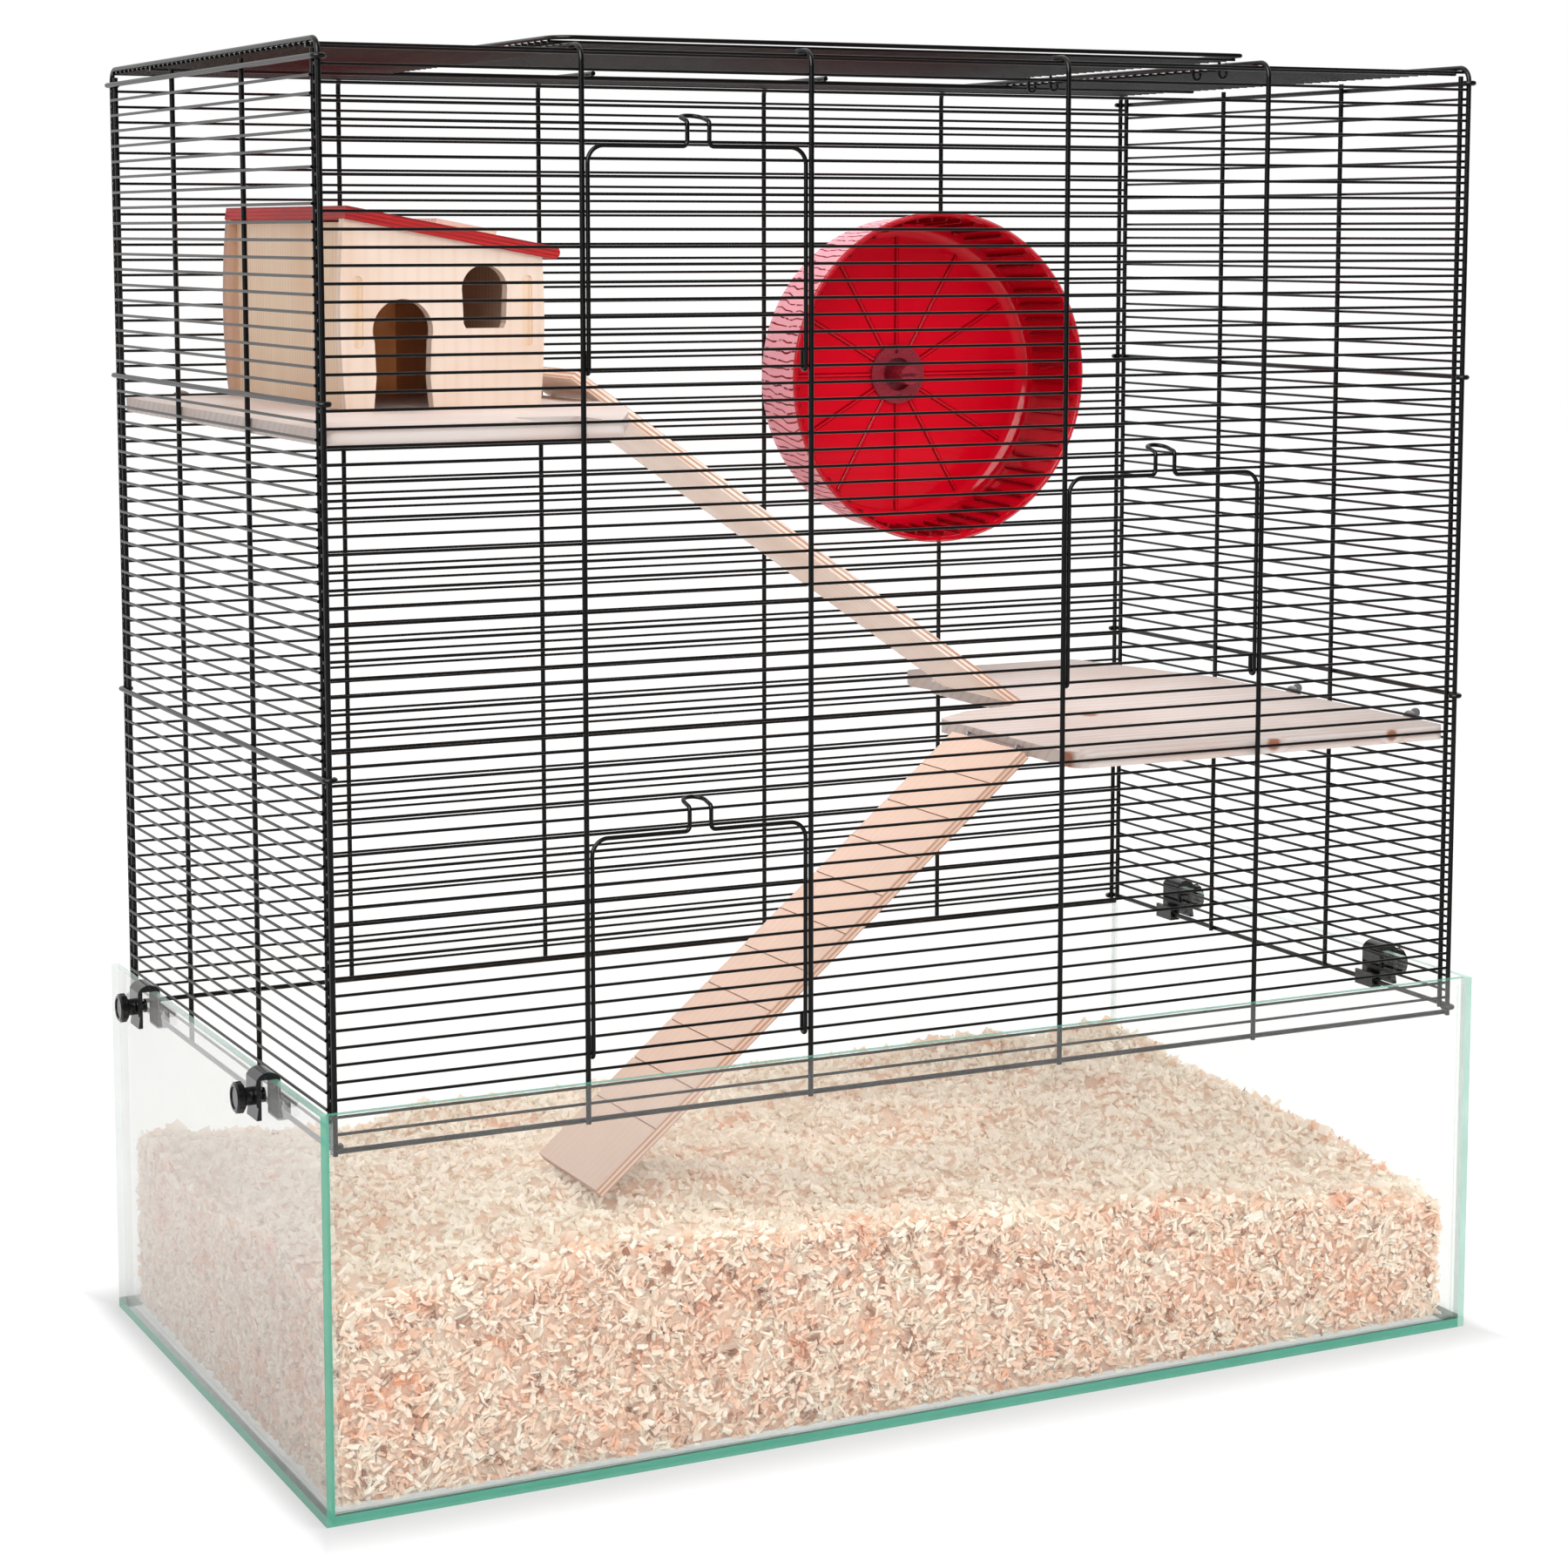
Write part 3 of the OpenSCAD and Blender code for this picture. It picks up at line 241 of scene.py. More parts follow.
def powder_coat(name, base):
    """Satin black epoxy powder coat on steel wire.

    Orange peel of about 1 mm breaks its soft shine, and a breath of dust lies on top.
    """
    material, node, coords = start_material(name)
    where = coords["Object"]
    peel = node("TexNoise", {"Vector": where, "Scale": 900.0, "Detail": 2.0})
    cloud = node("TexNoise", {"Vector": where, "Scale": 30.0, "Detail": 2.0})
    up = node("SeparateXYZ", {"Vector": coords["Normal"]}).outputs["Z"]
    dust = node("MapRange", {"Value": up, "From Min": 0.3, "From Max": 1.0, "To Max": 0.05})
    dust = node("Math", (dust, cloud), "MULTIPLY")
    tint = node("Mix", {0: dust, 6: base, 7: srgb("B9B2AA")}, data_type="RGBA")
    rough = node("MapRange", {"Value": peel, "To Min": 0.26, "To Max": 0.4})
    bump = node("Bump", {"Height": peel, "Strength": 0.12, "Distance": 0.1 * MM})
    shader = node(
        "BsdfPrincipled",
        {
            "Base Color": tint,
            "Roughness": rough,
            "Normal": bump,
            "Specular IOR Level": 0.2,
            "Coat Weight": 0.18,
            "Coat Roughness": 0.2,
            "Coat IOR": 1.8,
        },
    )
    node("OutputMaterial", {"Surface": shader})
    return material


# Painted light: the panes' cut edges are painted paler between these places, front to back
PAINTED_EDGE_LIGHT = (-220 * MM, 220 * MM)


def float_glass(name, axis, edge, clear, foot=0.0, dust=0.0):
    """Float glass: clear through its faces, mirroring more at a slant, green along its cut edges.

    axis is the one that the pane faces along. The cut edges are painted paler towards the back,
    painted light where the light behind shines along them. Up to foot above the ground, the pane
    shows the cut edge of the floor pane behind it. dust is the share of light that a film of dust
    scatters.
    """
    material, node, coords = start_material(name)
    facing = node("LayerWeight", {"Blend": 0.5}).outputs["Facing"]
    slant = node("Math", (facing, 5.0), "POWER")
    mirrored = node("Math", (slant, 0.96, 0.04), "MULTIPLY_ADD")
    streak = node("TexNoise", {"Vector": coords["Object"], "Scale": 35.0, "Detail": 1.0})
    smear = node("Math", (streak, 0.004), "MULTIPLY")
    through = node("BsdfTransparent", {"Color": clear})
    gloss = node("BsdfGlossy", {"Roughness": smear})
    if dust:
        film = node("BsdfDiffuse", {"Color": srgb("F4F2F0")})
        amount = node("Math", (streak, dust, 0.5 * dust), "MULTIPLY_ADD")
        through = node("MixShader", (amount, through, film))
    face = node("MixShader", (mirrored, through, gloss))
    normal = node("SeparateXYZ", {"Vector": coords["Normal"]})
    along = node("Math", (normal.outputs[axis],), "ABSOLUTE")
    is_edge = node("Math", (along, 0.5), "LESS_THAN")
    spot = node("SeparateXYZ", {"Vector": coords["Object"]})
    low = node("Math", (spot.outputs["Z"], foot), "LESS_THAN")
    is_edge = node("Math", (is_edge, low), "MAXIMUM")
    # Painted light: the cut edges turn paler and clearer towards the back
    front, rear = PAINTED_EDGE_LIGHT
    back = node("MapRange", {"Value": spot.outputs["Y"], "From Min": front, "From Max": rear})
    above = node("Math", (1.0, low), "SUBTRACT")
    back = node("Math", (back, above), "MULTIPLY")
    far = blend(edge, srgb("F4FAF6"), 0.75)
    cover = node("MapRange", {"Value": back, "To Min": 0.85, "To Max": 0.3})
    green = node("Mix", {0: back, 6: edge, 7: far}, data_type="RGBA")
    mottled = node(
        "Mix", {0: streak, 6: green, 7: blend(edge, srgb("2F7457"), 0.4)}, data_type="RGBA"
    )
    cut = node(
        "BsdfPrincipled", {"Base Color": mottled, "Roughness": 0.18, "IOR": 1.5, "Alpha": cover}
    )
    whole = node("MixShader", (is_edge, face, cut))
    node("OutputMaterial", {"Surface": whole})
    return material


def sealant(name):
    """Clear silicone, smoothed with a finger: a milky body with soft gloss and 2 mm bubbles."""
    material, node, coords = start_material(name)
    where = coords["Object"]
    lumps = node("TexNoise", {"Vector": where, "Scale": 120.0, "Detail": 1.0})
    bubbles = node("TexVoronoi", {"Vector": where, "Scale": 420.0})
    milk = node("MapRange", {"Value": bubbles, "From Max": 0.3, "To Min": 0.17, "To Max": 0.12})
    tint = node("Mix", {0: lumps, 6: srgb("DDEBE4"), 7: srgb("F2F6F4")}, data_type="RGBA")
    bump = node("Bump", {"Height": lumps, "Strength": 0.2, "Distance": 0.4 * MM})
    shader = node(
        "BsdfPrincipled", {"Base Color": tint, "Roughness": 0.3, "Alpha": milk, "Normal": bump}
    )
    node("OutputMaterial", {"Surface": shader})
    return material


def softwood_shaving(name, light, dark):
    """Planer shavings of spruce: dry and pale, each with its own tone and 2 mm grain lines.

    Light comes through a shaving, and patches of the heap are redder than others. The tone also
    holds painted shade, in the heap between the curls and in the darkest curls, and painted light
    in the paler curls on top.
    """
    material, node, coords = start_material(name)
    where = coords["Object"]
    tone = node("Attribute", attribute_name="tone").outputs["Fac"]
    patch = node("TexNoise", {"Vector": where, "Scale": 90.0, "Detail": 3.0})
    stretched = node("VectorMath", (where, (1, 3, 2)), "MULTIPLY")
    grain = node("TexNoise", {"Vector": stretched, "Scale": 500.0, "Detail": 2.0})
    drift = node("TexNoise", {"Vector": where, "Scale": 24.0, "Detail": 3.0, "Roughness": 0.7})
    part = node("Math", (tone, 0.34), "MULTIPLY")
    part = node("Math", (drift, 0.48, part), "MULTIPLY_ADD")
    part = node("Math", (patch, 0.3, part), "MULTIPLY_ADD")
    amount = node("Math", (grain, 0.25, part), "MULTIPLY_ADD")
    amount = node("Math", (amount, 0.95), "MULTIPLY")
    base = node(
        "ValToRGB",
        {"Fac": amount},
        stops=((0.54, light), (0.76, blend(light, dark, 0.45)), (0.92, dark)),
    )
    # The darkest curls go deep brown: partly the wood's own dark tone, partly painted shade of deep
    # gaps
    deep = node("MapRange", {"Value": tone, "From Min": 0.95, "From Max": 0.98})
    base = node("Mix", {0: deep, 6: base, 7: blend(dark, srgb("7A4420"), 0.7)}, data_type="RGBA")
    bump = node("Bump", {"Height": grain, "Strength": 0.35, "Distance": 0.4 * MM})
    leaf = node("BsdfPrincipled", {"Base Color": base, "Roughness": 0.72, "Normal": bump})
    glow = node("BsdfTranslucent", {"Color": base})
    whole = node("MixShader", (0.36, leaf, glow))
    node("OutputMaterial", {"Surface": whole})
    return material


def planed_wood(
    name, early, late, turn=(0, 0, 0), line=7 * MM, depth=1.0, layers=None, knots=(), glow=0.0
):
    """Sanded softwood or birch plywood, bare or stained, with its grain along local X.

    turn lays the grain along the board, line is the distance between grain lines and depth their
    strength. layers is (axis, thickness, colour) where the edges show plywood's layers, knots are
    (centre, radius) pairs and glow is the share of light that comes through a thin board.
    """
    material, node, coords = start_material(name)
    # The patterns below have these cells per metre along the grain and across it
    straight = node("Mapping", {"Vector": coords["Object"], "Rotation": turn})
    slow = node("VectorMath", (straight, (3, 14, 14)), "MULTIPLY")
    wander = node("TexNoise", {"Vector": slow, "Scale": 1.0, "Detail": 2.0})
    quick = node("VectorMath", (straight, (16, 850, 850)), "MULTIPLY")
    fibre = node("TexNoise", {"Vector": quick, "Scale": 1.0, "Detail": 3.0})
    streaky = node("VectorMath", (straight, (5, 120, 120)), "MULTIPLY")
    streak = node("TexNoise", {"Vector": streaky, "Scale": 1.0, "Detail": 2.0})
    blotch = node("TexNoise", {"Vector": straight, "Scale": 11.0, "Detail": 2.0})
    split = node("SeparateXYZ", {"Vector": straight})
    across = node("Math", (split.outputs["Y"], split.outputs["Z"]), "ADD")
    across = node("Math", (wander, 26 * MM, across), "MULTIPLY_ADD")
    heart = None
    for centre, radius in knots:
        away = node("VectorMath", (coords["Object"], centre), "DISTANCE")
        near = node(
            "MapRange",
            {"Value": away.outputs["Value"], "From Min": 3 * radius, "From Max": 0.5 * radius},
            interpolation_type="SMOOTHSTEP",
        )
        across = node("Math", (near, 2 * radius, across), "MULTIPLY_ADD")
        core = node(
            "MapRange",
            {"Value": away.outputs["Value"], "From Min": 1.25 * radius, "From Max": 0.7 * radius},
        )
        if heart:
            core = node("Math", (heart, core), "MAXIMUM")
        heart = core
    phase = node("Math", (across, 2 * math.pi / line), "MULTIPLY")
    wave = node("Math", (phase,), "SINE")
    wave = node("Math", (wave, 0.5, 0.5), "MULTIPLY_ADD")
    rings = node("Math", (wave, 3.0), "POWER")
    rings = node("Math", (rings, streak), "MULTIPLY")
    amount = node("Math", (rings, 0.9 * depth), "MULTIPLY")
    amount = node("Math", (fibre, 0.4 * depth, amount), "MULTIPLY_ADD")
    base = node("Mix", {0: amount, 6: early, 7: late}, data_type="RGBA")
    stain = node("MapRange", {"Value": blotch, "From Min": 0.45, "From Max": 0.68, "To Max": 0.75})
    base = node("Mix", {0: stain, 6: base, 7: blend(early, late, 0.7)}, data_type="RGBA")
    if heart:
        base = node("Mix", {0: heart, 6: base, 7: srgb("8F5A41")}, data_type="RGBA")
    if layers:
        axis, thickness, dark = layers
        turned = node("Mapping", {"Vector": coords["Normal"], "Rotation": turn})
        normal = node("SeparateXYZ", {"Vector": turned})
        side = node("Math", (normal.outputs[axis],), "ABSOLUTE")
        is_edge = node("Math", (side, 0.5), "LESS_THAN")
        band = node("Math", (split.outputs[axis], math.pi / thickness), "MULTIPLY")
        band = node("Math", (band,), "SINE")
        band = node("MapRange", {"Value": band, "From Min": -0.35, "From Max": 0.35, "To Max": 0.8})
        soft = node("Math", (fibre, 0.35), "ADD")
        soft = node("Math", (band, soft), "MULTIPLY")
        ply = node("Mix", {0: soft, 6: base, 7: dark}, data_type="RGBA")
        base = node("Mix", {0: is_edge, 6: base, 7: ply}, data_type="RGBA")
    bump = node("Bump", {"Height": amount, "Strength": 0.12, "Distance": 0.3 * MM})
    rough = node("MapRange", {"Value": fibre, "To Min": 0.5, "To Max": 0.68})
    shader = node("BsdfPrincipled", {"Base Color": base, "Roughness": rough, "Normal": bump})
    if glow:
        lit = node("BsdfTranslucent", {"Color": srgb("E2B48A")})
        shader = node("MixShader", (glow, shader, lit))
    node("OutputMaterial", {"Surface": shader})
    return material


def moulded_plastic(name, base, rough, grain, coat=0.0):
    """Injection-moulded plastic: flow marks 70 mm wide, a fine mould grain and small scuffs.

    rough is the middle roughness, grain the width of the mould grain, and coat the share of polish.
    """
    material, node, coords = start_material(name)
    where = coords["Object"]
    fine = node("TexNoise", {"Vector": where, "Scale": 1 / grain, "Detail": 2.0})
    flow = node("TexNoise", {"Vector": where, "Scale": 14.0, "Detail": 2.0})
    scuffs = node("TexNoise", {"Vector": where, "Scale": 260.0, "Detail": 4.0, "Distortion": 1.5})
    share = node("Math", (flow, 0.35), "MULTIPLY")
    tint = node("Mix", {0: share, 6: base, 7: shaded(base, 0.72)}, data_type="RGBA")
    bump = node("Bump", {"Height": fine, "Strength": 0.12, "Distance": grain * 0.1})
    scuffed = node(
        "MapRange",
        {
            "Value": scuffs,
            "From Min": 0.4,
            "From Max": 0.8,
            "To Min": rough * 0.85,
            "To Max": rough * 1.6,
        },
    )
    shader = node(
        "BsdfPrincipled",
        {
            "Base Color": tint,
            "Roughness": scuffed,
            "Normal": bump,
            "Coat Weight": coat,
            "Coat Roughness": 0.06,
            "IOR": 1.5,
        },
    )
    node("OutputMaterial", {"Surface": shader})
    return material


def tinted_plastic(name, base, centre, radius, rim, slats):
    """Glossy red see-through polystyrene: a deep disc and a thin wall.

    From outside, the feet of the slats show through the wall, and the light that comes through it
    is painted on the wall as a pale pink. The flanks of the ribs get painted shade. centre and
    radius are the wheel's, rim is the depth of its red front edge from the centre, and slats the
    number of lines.
    """
    material, node, coords = start_material(name)
    where = coords["Object"]
    flow = node("TexNoise", {"Vector": where, "Scale": 14.0, "Detail": 2.0})
    ripple = node("TexNoise", {"Vector": where, "Scale": 160.0, "Detail": 1.0})
    away = node("VectorMath", (where, centre), "SUBTRACT")
    level = node("VectorMath", (away, (1, 0, 1)), "MULTIPLY")
    reach = node("VectorMath", (level,), "LENGTH").outputs["Value"]
    # The wall starts where the disc rounds into it
    wall = node(
        "MapRange", {"Value": reach, "From Min": radius - 14 * MM, "From Max": radius - 8 * MM}
    )
    share = node("Math", (flow, 0.35), "MULTIPLY")
    share = node("Math", (wall, 0.65, share), "MULTIPLY_ADD")
    tint = node("Mix", {0: share, 6: base, 7: shaded(base, 0.45)}, data_type="RGBA")
    # Painted shade: the flanks of the ribs, which face round the axle, are painted dark
    across = node("VectorMath", (coords["Normal"], level), "CROSS_PRODUCT")
    painted_rib_shade = node("SeparateXYZ", {"Vector": across}).outputs["Y"]
    painted_rib_shade = node("Math", (painted_rib_shade, reach), "DIVIDE")
    painted_rib_shade = node("Math", (painted_rib_shade,), "ABSOLUTE")
    painted_rib_shade = node("MapRange", {"Value": painted_rib_shade, "From Min": 0.15, "From Max": 0.6, "To Max": 0.8})
    tint = node("Mix", {0: painted_rib_shade, 6: tint, 7: shaded(base, 0.3)}, data_type="RGBA")
    bump = node("Bump", {"Height": ripple, "Strength": 0.05, "Distance": 0.3 * MM})
    body = node(
        "BsdfPrincipled",
        {
            "Base Color": tint,
            "Roughness": 0.12,
            "Normal": bump,
            "Specular IOR Level": 0.25,
            "Coat Weight": 0.4,
            "Coat Roughness": 0.03,
        },
    )
    lit = node("BsdfTranslucent", {"Color": tint})
    deep = node("MixShader", (0.08, body, lit))
    clear = node("BsdfTransparent", {"Color": blend(base, (1, 1, 1, 1), 0.72)})
    # Painted light makes only the wall's outer side pale pink, and only the wall is see-through
    side = node("VectorMath", (coords["Normal"], level), "DOT_PRODUCT")
    outer = node("Math", (side.outputs["Value"], 0.0), "GREATER_THAN")
    behind = node("NewGeometry").outputs["Backfacing"]
    share = node("Math", (outer, 0.3), "MULTIPLY")
    share = node("Mix", {0: behind, 2: share, 3: 0.62}, data_type="FLOAT")
    share = node("Math", (share, wall), "MULTIPLY")
    painted_light_mask = node("Math", (outer, wall), "MULTIPLY")
    inward = node("SeparateXYZ", {"Vector": away}).outputs["Y"]
    past = node("Math", (inward, rim), "GREATER_THAN")
    painted_light_mask = node("Math", (painted_light_mask, past), "MULTIPLY")
    painted_light_mask = node("Math", (painted_light_mask, 0.85), "MULTIPLY")
    # The feet of the slats: lines by the angle round the axle, slanted, bowed and a little crooked
    flat = node("SeparateXYZ", {"Vector": level})
    angle = node("Math", (flat.outputs["Z"], flat.outputs["X"]), "ARCTAN2")
    crooked = node("TexNoise", {"Vector": where, "Scale": 40.0, "Detail": 1.0})
    angle = node("Math", (crooked, 0.08, angle), "MULTIPLY_ADD")
    bow = node("Math", (inward, 2.0), "POWER")
    angle = node("Math", (bow, 18.0, angle), "MULTIPLY_ADD")
    angle = node("Math", (inward, 0.7, angle), "MULTIPLY_ADD")
    wave = node("Math", (angle, slats), "MULTIPLY")
    wave = node("Math", (wave,), "COSINE")
    # A line shows where the wave is near its lowest, and breaks off where the ripple is low
    foot = node("MapRange", {"Value": wave, "From Min": -0.7, "From Max": -0.92})
    shown = node("MapRange", {"Value": ripple, "From Min": 0.28, "From Max": 0.42})
    foot = node("Math", (foot, shown), "MULTIPLY")
    # The pale pink is painted light that comes through the wall from inside
    painted_light_pink = blend(base, srgb("FFE2EE"), 0.62)
    seen = node("Mix", {0: foot, 6: painted_light_pink, 7: blend(base, srgb("3A0818"), 0.9)}, data_type="RGBA")
    pale = node("BsdfDiffuse", {"Color": seen})
    deep = node("MixShader", (painted_light_mask, deep, pale))
    whole = node("MixShader", (share, deep, clear))
    node("OutputMaterial", {"Surface": whole})
    return material


def zinc_plate(name):
    """Bright zinc plating: a cool grey metal with a crystalline bloom of about 5 mm."""
    material, node, coords = start_material(name)
    where = coords["Object"]
    bloom = node("TexNoise", {"Vector": where, "Scale": 220.0, "Detail": 3.0})
    rough = node("MapRange", {"Value": bloom, "To Min": 0.22, "To Max": 0.42})
    tint = node("Mix", {0: bloom, 6: srgb("C4C6C8"), 7: srgb("A2A4A7")}, data_type="RGBA")
    shader = node("BsdfPrincipled", {"Base Color": tint, "Metallic": 1.0, "Roughness": rough})
    node("OutputMaterial", {"Surface": shader})
    return material


# ------------------------------------------------------------------ shavings

# The top of the heap: its level in millimetres, and the mound and hollow on it as (height in
# millimetres, place in half widths and half depths of the tank, spread in metres)
HEAP_LEVEL = 124
SWELLS = (
    (26, (-0.52, -0.48), (0.115, 0.11)),
    (-10, (-0.6, 0.92), (0.03, 0.06)),
)
# Its fall towards the front right corner: how steep, and from which share of the half width and
# of the half depth on
HEAP_FALL, FALL_FROM = 25.3, (0.25, 0.75)
# Lumps on the heap as (cells per metre, slice of the noise, height in millimetres), and how far
# the heap sinks below its top, in millimetres, so that the curls on it reach the top
BROAD_LUMPS, SMALL_LUMPS = (14, 2.0, 9), (45, 5.0, 5)
HEAP_SINK = 7
# Quads of the heap's top, and how far it stays off the panes and the floor
HEAP_COLUMNS, HEAP_ROWS = 120, 66
HEAP_INSET, HEAP_BASE = 5 * MM, 1 * MM
# Tone of the heap between the curls, from 0, the palest, to 1: dark, as painted shade in the gaps
HEAP_PAINTED_SHADE = 0.8
# Where curls lie: (piece, the way its part of the heap faces, curls per square metre, tilt in
# radians, darkest tone, seed). The top's darkest tone is low: its curls are painted pale, painted
# light where the top takes more light
LAYERS = (
    ("shavings_top", (0, 0, 1), 66000.0, 0.9, 0.2, 3),
    ("shavings_front", (0, -1, 0), 190000.0, 0.55, 1.0, 8),
    ("shavings_back", (0, 1, 0), 90000.0, 0.55, 1.0, 13),
    ("shavings_left", (-1, 0, 0), 190000.0, 0.55, 0.9, 21),
    ("shavings_right", (1, 0, 0), 110000.0, 0.55, 1.0, 34),
)
# Kinds of curl: turns of the curl, width against length, vertices along it
CURLS = ((0.7, 0.55, 6), (0.25, 0.42, 4), (1.3, 0.38, 7), (0.12, 0.8, 4))
# How high curls stand off the heap, how far they stay off the panes and off the floor pane, and
# how far they may rise above the bedding's top
CURL_RISE = 4 * MM
CURL_SIDES, CURL_BASE, CURL_TOP = 0.2 * MM, 0.5 * MM, 20 * MM
# Share of its depth that a curl keeps where it is pressed flat
FLATTENED = 0.1


def bell(distance, width):
    """A bell curve of height 1."""
    return math.exp(-distance * distance / (2 * width * width))


def lumps(x, y, cells, layer, height):
    """Height of the lumps of one size at a place."""
    return noise.noise(Vector((x * cells, y * cells, layer))) * height


def heap_height(x, y, half_x, half_y):
    """Height of the heap's smooth top at a place in a tank of this half width and half depth."""
    height = HEAP_LEVEL
    for rise, (across, deep), (wide_x, wide_y) in SWELLS:
        height += rise * bell(x - across * half_x, wide_x) * bell(y - deep * half_y, wide_y)
    height -= HEAP_FALL * max(0, x / half_x - FALL_FROM[0]) * max(0, FALL_FROM[1] - y / half_y)
    return height * MM


class CAGE_OT_shavings(bpy.types.Operator):
    """Fills the tank with a heap of curled softwood shavings"""

    bl_idname = "cage.shavings"
    bl_label = "Shavings"

    def execute(self, context):
        looks = context.scene.cage
        material = softwood_shaving("softwood_shaving", looks.shaving_light, looks.shaving_dark)
        lo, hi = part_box("bedding")
        core = self.heap(lo, hi)
        core.data.materials.append(material)
        tree = self.curl_tree()
        for name, facing, density, tilt, darkest, seed in LAYERS:
            values = {
                "Facing": facing,
                "Density": density,
                "Tilt": tilt,
                "Darkest tone": darkest,
                "Seed": seed,
                "Length": looks.shaving_size,
                "Low corner": (lo.x + CURL_SIDES, lo.y + CURL_SIDES, lo.z + CURL_BASE),
                "High corner": (hi.x - CURL_SIDES, hi.y - CURL_SIDES, hi.z + CURL_TOP),
                "Material": material,
            }
            layer = grown(name, core, tree, values)
            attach(layer, "tank")
        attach(core, "tank")
        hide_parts("bedding")
        return {"FINISHED"}

    def heap(self, lo, hi):
        """A closed heap with a lumpy top, a little clear of the panes and below the curls."""
        half_x, half_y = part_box("glass_right")[1].x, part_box("glass_back")[1].y
        x0, x1 = lo.x + HEAP_INSET, hi.x - HEAP_INSET
        y0, y1 = lo.y + HEAP_INSET, hi.y - HEAP_INSET
        base = lo.z + HEAP_BASE
        columns, rows = HEAP_COLUMNS, HEAP_ROWS
        vertices, faces = [], []
        for j in range(rows + 1):
            for i in range(columns + 1):
                x = x0 + (x1 - x0) * i / columns
                y = y0 + (y1 - y0) * j / rows
                lump = lumps(x, y, *BROAD_LUMPS) + lumps(x, y, *SMALL_LUMPS)
                top = heap_height(x, y, half_x, half_y) + (lump - HEAP_SINK) * MM
                vertices.append((x, y, top))
        across = columns + 1
        ring = list(range(across))
        ring += [j * across + columns for j in range(1, rows + 1)]
        ring += [rows * across + i for i in range(columns - 1, -1, -1)]
        ring += [j * across for j in range(rows - 1, 0, -1)]
        start = len(vertices)
        vertices += [(vertices[k][0], vertices[k][1], base) for k in ring]
        for j in range(rows):
            for i in range(columns):
                k = j * across + i
                faces.append((k, k + 1, k + across + 1, k + across))
        for n, k in enumerate(ring):
            m = (n + 1) % len(ring)
            faces.append((k, start + n, start + m, ring[m]))
        faces.append([start + n for n in range(len(ring))][::-1])
        obj = new_object("shavings_heap", vertices, faces)
        # The heap's dark tone is painted shade where it shows between the curls
        tone = obj.data.attributes.new("tone", "FLOAT", "POINT")
        tone.data.foreach_set("value", [HEAP_PAINTED_SHADE] * len(vertices))
        return obj

    def curl_tree(self):
        """Node tree that lays curls on the part of a heap that faces one way."""
        tree = bpy.data.node_groups.new("curls", "GeometryNodeTree")
        tree.interface.new_socket("Geometry", in_out="INPUT", socket_type="NodeSocketGeometry")
        for label, kind in (
            ("Facing", "NodeSocketVector"),
            ("Density", "NodeSocketFloat"),
            ("Tilt", "NodeSocketFloat"),
            ("Darkest tone", "NodeSocketFloat"),
            ("Seed", "NodeSocketInt"),
            ("Length", "NodeSocketFloat"),
            ("Low corner", "NodeSocketVector"),
            ("High corner", "NodeSocketVector"),
            ("Material", "NodeSocketMaterial"),
        ):
            tree.interface.new_socket(label, in_out="INPUT", socket_type=kind)
        tree.interface.new_socket("Geometry", in_out="OUTPUT", socket_type="NodeSocketGeometry")
        node = partial(add, tree)
        given = node("NodeGroupInput").outputs
        # Curls of this layer lie on faces that turn less than 57 degrees from its way
        normal = node("GeometryNodeInputNormal").outputs[0]
        way = node("VectorMath", (normal, given["Facing"]), "DOT_PRODUCT")
        wanted = node("FunctionNodeCompare", (way.outputs["Value"], 0.55), "GREATER_THAN")
        points = node(
            "GeometryNodeDistributePointsOnFaces",
            {
                "Mesh": given["Geometry"],
                "Selection": wanted,
                "Density": given["Density"],
                "Seed": given["Seed"],
            },
        )
        rise = node("FunctionNodeRandomValue", {2: 0.0, 3: CURL_RISE, "Seed": 4}, data_type="FLOAT")
        out = node("VectorMath", {0: points.outputs["Normal"], "Scale": rise}, "SCALE")
        lifted = node(
            "GeometryNodeSetPosition", {"Geometry": points.outputs["Points"], "Offset": out}
        )
        spin = node(
            "FunctionNodeRandomValue",
            {"Min": (-1, -1, -math.pi), "Max": (1, 1, math.pi), "Seed": 11},
            data_type="FLOAT_VECTOR",
        )
        lean = node("CombineXYZ", {"X": given["Tilt"], "Y": given["Tilt"], "Z": 1.0})
        wobble = node("VectorMath", (spin, lean), "MULTIPLY")
        turn = node(
            "FunctionNodeRotateRotation",
            (points.outputs["Rotation"], wobble),
            rotation_space="LOCAL",
        )
        # Length, width and height of a curl, against the common one
        size = node(
            "FunctionNodeRandomValue",
            {"Min": (0.45, 0.4, 0.5), "Max": (1.35, 1.2, 1.1), "Seed": 5},
            data_type="FLOAT_VECTOR",
        )
        scaled = node("VectorMath", {0: size, "Scale": given["Length"]}, "SCALE")
        pick = node(
            "FunctionNodeRandomValue", {4: 0, 5: len(CURLS) - 1, "Seed": 2}, data_type="INT"
        )
        curls = node(
            "GeometryNodeInstanceOnPoints",
            {
                "Points": lifted,
                "Instance": self.kinds_of_curl(tree),
                "Pick Instance": True,
                "Instance Index": pick,
                "Rotation": turn,
                "Scale": scaled,
            },
        )
        # Each curl's tone, up to its layer's darkest; the top's low limit is painted light
        shade = node(
            "FunctionNodeRandomValue",
            {2: 0.0, 3: given["Darkest tone"], "Seed": 7},
            data_type="FLOAT",
        )
        toned = node(
            "GeometryNodeStoreNamedAttribute",
            {"Geometry": curls, "Name": "tone", "Value": shade},
            data_type="FLOAT",
            domain="INSTANCE",
        )
        real = node("GeometryNodeRealizeInstances", (toned,))
        kept = self.folded_back(node, real, given["Low corner"], given["High corner"])
        done = node("GeometryNodeSetMaterial", {"Geometry": kept, "Material": given["Material"]})
        node("NodeGroupOutput", (done,))
        return tree

